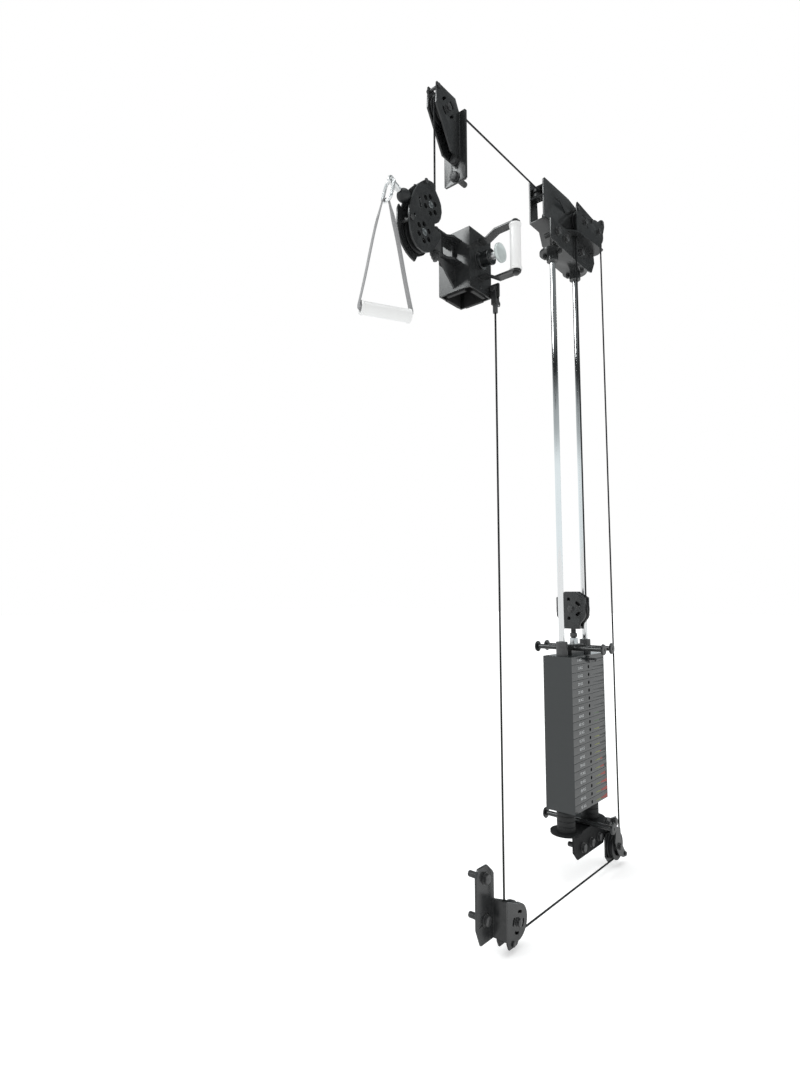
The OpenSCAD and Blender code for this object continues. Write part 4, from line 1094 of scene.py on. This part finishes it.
def make_pop_pin():
    foot = (SLEEVE_HALF, POST_Y, PIN_Z)
    housing = [(9.05, 0), (25, 0), (25, 6.2), (21, 7), (20.4, 9), (20.4, 29.5), (22.4, 31)]
    housing += [(22.4, 36.4), (20.6, 37), (12.5, 37), (12.5, 34.5), (9.05, 34.5)]
    turned_piece(
        "pop_pin_housing_piece", [(rounded(housing, 0.8, 3, True), foot, X, True)], "trolley",
        "black_paint", "pop_pin_housing", sides=56,
    )
    plunger = [(0, -36.5), (6.3, -36.5), (8.9, -34), (8.9, 38.2)]
    for k in range(5):
        low = 38.8 + k * 2.9
        plunger += [(10, low), (10, low + 1.9), (9.0, low + 2.3), (9.0, low + 2.7)]
    plunger += [(9, 53.6), (0, 53.6)]
    knob = [(0, 53), (15, 53), (17, 54), (25, 59.4), (26.5, 61), (26.5, 65.4), (25.2, 67.9)]
    knob += [(23.4, 67.9), (20.4, 66.2), (13, 64.4), (0, 63.8)]
    for name, profile, sides, finish in (
        ("plunger", mm(plunger), 48, CHROME_TRIM),
        ("knob_dish", rounded(knob, 1.6), 64, KNOB_GLAZE),
    ):
        turned_piece(
            name, [(profile, foot, X)], "locking_pin", "bright_steel", "pop_pin",
            sides=sides, finish=finish,
        )


def make_gate():
    low = HOOK_LOW + HOOK_R + 4.3 * MM
    length = (HOOK_TOP - HOOK_R - 4.4 * MM - low) / MM
    gate = [(0, 0), (1.6, 0.4), (2.8, 1.3), (3.4, 2.4), (3.6, 3.6), (3.6, 7.4)]
    for k in range(8):
        rib = 7.8 + k * 1.75
        gate += [(5, rib), (5, rib + 1.0), (4.6, rib + 1.2), (4.6, rib + 1.55)]
    gate += [(3.6, 22.4), (3.6, length - 0.6), (3.2, length), (0, length)]
    turned_piece(
        "carabiner_gate_piece",
        [(mm(gate), EYE + HOOK_TURN @ Vector((HOOK_R, 0, low)), HOOK_TURN @ Z)], "gate",
        "rod_chrome", "carabiner_gate", sides=36, finish=CHROME_TRIM,
    )


def make_clevis_ring():
    wire_round = [(8.6 + 1.5 * cos(a), 1.5 * sin(a)) for a in circle(12)]
    place = (LOOP_X, CLEVIS_Y + 15.5 * MM, SLEEVE_Z - 12 * MM)
    turned_piece(
        "clevis_ring", [(mm(wire_round), place, X, True)], "trolley", "dark_steel", sides=36
    )


WHEELS = [
    ("head_wheel", HEAD_WHEEL, X), ("inner_wheel", INNER_WHEEL, IN_DIR.cross(Z)),
    ("outer_front_wheel", OUTER_FRONT_WHEEL, OUT_SIDE),
    ("outer_rear_wheel", OUTER_REAR_WHEEL, OUT_SIDE), ("foot_wheel", FOOT_WHEEL, X),
    ("rear_foot_wheel", REAR_FOOT_WHEEL, X), ("arm_upper_wheel", ARM_UPPER_WHEEL, X),
    ("arm_lower_wheel", ARM_LOWER_WHEEL, X), ("float_wheel", FLOAT_WHEEL, Y),
]


def make_bearings():
    """Outer race on each side of every wheel's hub."""
    race = rounded([(11.6, 5.4), (14.6, 5.4), (14.6, 7.4), (11.6, 7.4)], 0.4, 2, True)
    for body, place, axis in WHEELS:
        parts = [(race, place, axis * s, True) for s in (-1, 1)]
        turned_piece(f"{body}_bearing", parts, body, "bright_steel", sides=36)


# Welds, whose lines stay in this order because the beads' sizes follow it

WELD_JITTER = 0.25
HOUSING_R = 25 * MM
BLOCK_HALF = 14 * MM


def weld(name, body, lines, pitch, bead):
    finish = FINISH["black_paint"]
    bead_lines(name, lines, pitch, bead, WELD_JITTER, body, "black_paint", finish)


def make_welds():
    front, side = POST_Y - SLEEVE_HALF, SLEEVE_HALF
    lines = [
        [(s * x * MM, front, SLEEVE_Z + z * MM) for x in (26, 4)]
        for z in (70, 76, 132, 138)
        for s in (-1, 1)
    ]
    for s in (-1, 1):
        lines.append([(s * 3 * MM, front, SLEEVE_Z + z * MM) for z in (9, 69)])
        for low in (140, 37):
            y = POST_Y + s * BLOCK_HALF
            lines.append([(side, y, SLEEVE_Z + z * MM) for z in (low, low + 6)])
    for z in (37, 43, 140, 146):
        lines.append([(side, POST_Y + s * BLOCK_HALF, SLEEVE_Z + z * MM) for s in (-1, 1)])
    lines.append(
        [
            (side, POST_Y + HOUSING_R * cos(a), PIN_Z + HOUSING_R * sin(a))
            for a in circle(32) + [2 * pi]
        ]
    )
    for s in (-1, 1):
        lines.append([(side, CLEVIS_Y + s * 4 * MM, SLEEVE_Z + z * MM) for z in (1, 37)])
    weld("trolley_welds", "trolley", lines, 1.5, (1.5, 1.5, 1.9))

    lines = [
        [(x, FRONT_Y - BRACKET_S, HEAD_Z + z * MM) for z in (-116, 13)]
        for x in (-CHEEK_OUT, -CHEEK_IN, CHEEK_IN, CHEEK_OUT)
    ]
    start = Vector((FLOAT_R, 0, ROD_TOP + 75 * MM + PLATE_S))
    for low, high, cheeks in (
        (-172 * MM, SPAN_OUT - 8 * MM, (-CHEEK_OUT, -CHEEK_IN)),
        (-12 * MM, SPAN_OUT - 25 * MM, (CHEEK_IN, CHEEK_OUT)),
    ):
        lines += [[start + OUT_DIR * y + OUT_SIDE * x for y in (low, high)] for x in cheeks]
    weld("bracket_welds", "stand", lines, 1.6, (1.5, 1.5, 2.0))


# Carabiner and strap


def tube(name, points, radii, finish, sides=14):
    """A closed round tube through the points, with one radius for each."""
    work = bmesh.new()
    rings = []
    side = None
    for k, (point, radius) in enumerate(zip(points, radii)):
        along = (points[min(k + 1, len(points) - 1)] - points[max(k - 1, 0)]).normalized()
        if side is None:
            side = X - along * X.dot(along)
            if side.length < 0.2:
                side = Y - along * along.y
        side = (side - along * side.dot(along)).normalized()
        rings.append(ring_of(work, point, side, along.cross(side), radius, sides))
    loft(work, rings)
    return linked(name, smooth_finish(outward_mesh(work, name), finish, 50.0))


def arc(centre, radius, start, end, toward, steps=14):
    """Points round an arc in the upright plane that holds the level direction."""
    points = []
    for k in range(steps + 1):
        a = radians(start + (end - start) * k / steps)
        points.append(centre + toward * (radius * cos(a)) + Z * (radius * sin(a)))
    return points


def make_carabiner():
    low = Vector((0, 0, HOOK_LOW + HOOK_R))
    high = Vector((0, 0, HOOK_TOP - HOOK_R))
    path = [low + Vector((HOOK_R, 0, z * MM)) for z in (4, 2)]
    path += arc(low, HOOK_R, 0, -180, X, 24)
    path += [low.lerp(high, t) - X * HOOK_R for t in (0.25, 0.5, 0.75)]
    path += arc(high, HOOK_R, 180, 0, X, 24)
    path += [high + Vector((HOOK_R, 0, z * MM)) for z in (-2, -4)]
    path = [EYE + HOOK_TURN @ point for point in path]
    tip = 0.85 * HOOK_WIRE
    radii = [tip] + [HOOK_WIRE] * (len(path) - 2) + [tip]
    piece = tube("carabiner_piece", path, radii, CHROME_TRIM, 24)
    settle(piece, "hook", "rod_chrome", "carabiner")


STRAP_HALF = 10.6 * MM
STRAP_FOLD = 3.2 * MM
STRAP_T = 1.25 * MM
STRAP_SIDES = 12
FOLD_R = (8.6 * MM, 6.0 * MM)
CORNER_R = 5.5 * MM
SIDE_STEPS = 40


def strap_path():
    """Middle line of the strap as (y, z) in the handle's own frame."""
    reach = HANDLE_HALF + 3.4 * MM
    half = []
    for k in range(8):
        a = radians(90 - 78 * k / 7)
        half.append((FOLD_R[0] * cos(a), STRAP_TOP.z + FOLD_R[1] * sin(a)))
    start, end = half[-1], (reach, GRIP_Z + 10 * MM)
    for k in range(1, SIDE_STEPS + 1):
        t = k / SIDE_STEPS
        ease = t + 0.02 * sin(pi * 2 * t)
        bow = 1.6 * MM * sin(pi * t)
        y = start[0] + (end[0] - start[0]) * ease + bow
        half.append((y, start[1] + (end[1] - start[1]) * t))
    for k in range(1, 9):
        a = radians(12 - 102 * k / 8)
        y = reach - CORNER_R + CORNER_R * cos(a)
        half.append((y, GRIP_Z + 4.6 * MM + CORNER_R * sin(a)))
    half.append((HANDLE_HALF * 0.5, half[-1][1]))
    return half + [(-y, z) for y, z in reversed(half)]


def strap_width(z):
    """Folded narrow over the bar and full width below it."""
    t = min(max((STRAP_TOP.z + 4 * MM - z) / (52 * MM), 0.0), 1.0)
    return STRAP_FOLD + (STRAP_HALF - STRAP_FOLD) * t * t * (3 - 2 * t)


def strap_point(x, y, z):
    """A point of the handle's own frame in the shared frame."""
    return HANDLE_X * x + HANDLE_Y * y + Vector((0, STRAP_TOP.y, z))


def strap_section():
    """Flattened outline across the webbing, from -1 to 1 each way."""
    section = []
    for a in circle(STRAP_SIDES):
        c, s = cos(a), sin(a)
        section.append((copysign(abs(c) ** 0.28, c), copysign(abs(s) ** 0.5, s)))
    return section


def make_strap(path):
    """Webbing round the loop, with its length and width as the UV map."""
    count, section = len(path), strap_section()
    work = bmesh.new()
    layer = work.loops.layers.uv.new("UVMap")
    points = [Vector(point) for point in path]
    rings, lengths = [], [0.0]
    for k, point in enumerate(points):
        following = points[(k + 1) % count]
        along = (following - points[k - 1]).normalized()
        normal = Vector((-along.y, along.x))
        lengths.append(lengths[-1] + (following - point).length)
        width = strap_width(point.y)
        fold = STRAP_T * (1.0 + 0.55 * (1.0 - width / STRAP_HALF))
        ring = []
        for u, v in section:
            cup = 0.35 * MM * (1 - u * u)
            flat = point + normal * (v * fold + cup)
            ring.append(work.verts.new(strap_point(u * width, flat.x, flat.y)))
        rings.append(ring)
    for k in range(count):
        low, high = rings[k], rings[(k + 1) % count]
        spans = (lengths[k], lengths[k], lengths[k + 1], lengths[k + 1])
        for i in range(STRAP_SIDES):
            j = (i + 1) % STRAP_SIDES
            face = work.faces.new((low[i], low[j], high[j], high[i]))
            for loop, run, at in zip(face.loops, spans, (i, j, j, i)):
                loop[layer].uv = (section[at][0] * STRAP_HALF, run)
    mesh = smooth_finish(outward_mesh(work, "handle_strap_piece"), FINISH["strap_web"], 70.0)
    settle(linked("handle_strap_piece", mesh), "strap", "strap_web", "handle_strap")


def sew(name, lines, pitch, bead):
    bead_lines(name, lines, pitch, bead, 0.1, "strap", "strap_web", LABEL["thread"])


def make_stitches(path):
    """Rows of stitches down both sides and bar tacks under the fold."""
    out = Vector((1, 0.23)).normalized() * (STRAP_T + 0.45 * MM)
    rows = [(y, z, strap_width(z)) for y, z in path[9:42] if strap_width(z) > 8 * MM]
    lines = [
        [strap_point(edge * width, s * (y + out.x), z + out.y) for y, z, width in rows]
        for s in (-1, 1)
        for edge in (-0.72, 0.72)
    ]
    sew("strap_stitches", lines, 3.4, (0.42, 0.42, 1.3))
    bars = []
    for s in (-1, 1):
        for y, z in path[14:18]:
            half = strap_width(z) * 0.86
            off = s * (y + STRAP_T + 0.75 * MM)
            bars.append([strap_point(x, off, z) for x in (-half, half)])
    sew("strap_bar_tacks", bars, 1.0, (0.55, 0.4, 0.8))


# Cables along the routes that the solids hold


def cable(name, path, node):
    piece = tube(name, path, [CABLE_R] * len(path), FINISH["cable_sheath"])
    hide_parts(node)
    return piece


def make_cables():
    bend = [
        ROLLER + Vector((cos(b), sin(b), 0)) * ROLLER_R
        for b in (0, TILT_IN / 3, TILT_IN * 2 / 3, TILT_IN)
    ]
    away = BALL - ARM_UPPER_WHEEL
    touch = atan2(away.z, away.y) + acos(SMALL_R / hypot(away.y, away.z))
    end = degrees(touch) + 360
    runs = {
        "top_run_cable": (
            "stand",
            arc(HEAD_WHEEL, SMALL_R, 180, 90, Y) + bend + arc(INNER_WHEEL, SMALL_R, 90, 0, IN_DIR),
        ),
        "return_loop_cable": (
            "stand", arc(OUTER_FRONT_WHEEL, SMALL_R, 180, 90, OUT_DIR)
            + arc(OUTER_REAR_WHEEL, SMALL_R, 90, 0, OUT_DIR)
            + arc(REAR_FOOT_WHEEL, SMALL_R, 0, -90, Y)
            + arc(FOOT_WHEEL, SMALL_R, 270, 180, Y),
        ),
        "lift_loop_cable": ("stack_top", arc(FLOAT_WHEEL, FLOAT_R, 180, 360, X, 28)),
        "arm_cable": (
            "arm", arc(ARM_UPPER_WHEEL, SMALL_R, 360, end, Y, 20) + [BALL + EXIT_DIR * 20 * MM],
        ),
    }
    for node, (body, path) in runs.items():
        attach(cable(node + "_piece", path, node), body)
    arm_z, clevis_z = ARM_UPPER_WHEEL.z, SLEEVE_Z - 45 * MM
    strands = [
        ("lift_strand_left", -FLOAT_R, 0, HEAD_Z, FLOAT_Z, "stack_top", "lift_strands"),
        ("lift_strand_right", FLOAT_R, 0, HEAD_Z, FLOAT_Z, "stack_top", "lift_strands"),
        ("front_drop_strand", 0, DROP_Y, HEAD_Z, arm_z, "trolley", "front_drop_cable"),
        ("front_low_strand", LOOP_X, CLEVIS_Y, LOW_Z, clevis_z, "trolley", "front_low_cable"),
    ]
    for name, x, y, held, moving, body, node in strands:
        a, b = Vector((x, y, held)), Vector((x, y, moving))
        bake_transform(cable(name, [a, b], node))


make_cables()
ease_solids()
make_plates()
make_labels()
make_stem()
make_fasteners()
make_grips()
make_cable_end()
make_pop_pin()
band_bar("base_band_bar_piece", [0.0], 16 * MM, "stand", "base_band_bar")
band_bar(
    "stack_band_bars_piece", [-32.5, 32.5], HEAD_TOP + 22.5 * MM, "stack_top", "stack_band_bars"
)
make_gate()
make_clevis_ring()
make_bearings()
make_welds()
make_carabiner()
make_strap(strap_path())
make_stitches(strap_path())


# Floor, light and background


def upward(angle):
    """Place on the room's ramp of a direction that looks up by the angle."""
    return 0.5 + 0.5 * sin(radians(angle))


ROOM = [
    (0.0, 1.0), (upward(10), 1.0), (upward(17), 0.5), (upward(25), 0.02), (upward(31), 0.2),
    (1.0, 0.3),
]
ROOM_TINT = (0.93, 1.0, 1.02)
WORLD_LIGHT = 0.72
FLOOR_GLOW = 0.36
FLOOR_SIZE = 60
SUN_COLOUR = (0.97, 1.0, 1.0)


def make_floor():
    """Pale floor with a glow for the camera only, which reads as white paper."""
    bpy.ops.mesh.primitive_plane_add(size=FLOOR_SIZE, location=(0, 0, FLOOR_Z))
    floor = bpy.context.object
    floor.name = "studio_floor"
    material, tree, shader = blank_material("studio_floor")
    fill(shader, {"Base Color": grey(0.82), "Roughness": 0.95, "Specular IOR Level": 0.0})
    path = add_node(tree, "ShaderNodeLightPath")
    level = maths(tree, "MULTIPLY", (path, "Is Camera Ray"), FLOOR_GLOW)
    glow = add_node(tree, "ShaderNodeEmission", {"Color": grey(1.0), "Strength": level})
    both = add_node(tree, "ShaderNodeAddShader", {0: (shader, 0), 1: (glow, 0)})
    fill(tree.nodes["Material Output"], {"Surface": (both, 0)})
    floor.data.materials.append(material)


def make_world():
    """White to the camera, a dim room to surfaces, a bright low wall in reflections."""
    world = bpy.data.worlds.new("studio")
    bpy.context.scene.world = world
    world.use_nodes = True
    tree = world.node_tree
    path = add_node(tree, "ShaderNodeLightPath")
    coords = add_node(tree, "ShaderNodeTexCoord")
    split = add_node(tree, "ShaderNodeSeparateXYZ", {0: (coords, "Generated")})
    height = maths(tree, "MULTIPLY_ADD", (split, "Z"), 0.5, 0.5)
    room = add_node(tree, "ShaderNodeValToRGB", {"Fac": height})
    ramp = room.color_ramp
    ramp.interpolation = "EASE"
    while len(ramp.elements) < len(ROOM):
        ramp.elements.new(0.5)
    for element, (place, value) in zip(ramp.elements, ROOM):
        element.position = place
        element.color = (*(value * tint for tint in ROOM_TINT), 1.0)
    shine = mixed(tree, (path, "Is Glossy Ray"), grey(WORLD_LIGHT), (room, "Color"))
    seen = mixed(tree, (path, "Is Camera Ray"), shine, grey(1.0))
    fill(tree.nodes["Background"], {"Color": seen})


def soft_sun(name, toward, strength, spread):
    """A broad even light from one side, the same strength all over the floor."""
    data = bpy.data.lights.new(name, "SUN")
    data.energy = strength
    data.angle = radians(spread)
    data.color = SUN_COLOUR
    lamp = linked(name, data)
    lamp.rotation_mode = "QUATERNION"
    lamp.rotation_quaternion = Vector(toward).to_track_quat("-Z", "Y")


make_floor()
make_world()
soft_sun("key_light", (0.476, 0.66, -0.62), 1.15, 22)
soft_sun("top_light", (-0.15, 0.1, -1.0), 0.8, 40)

bpy.context.scene.view_settings.view_transform = "Standard"
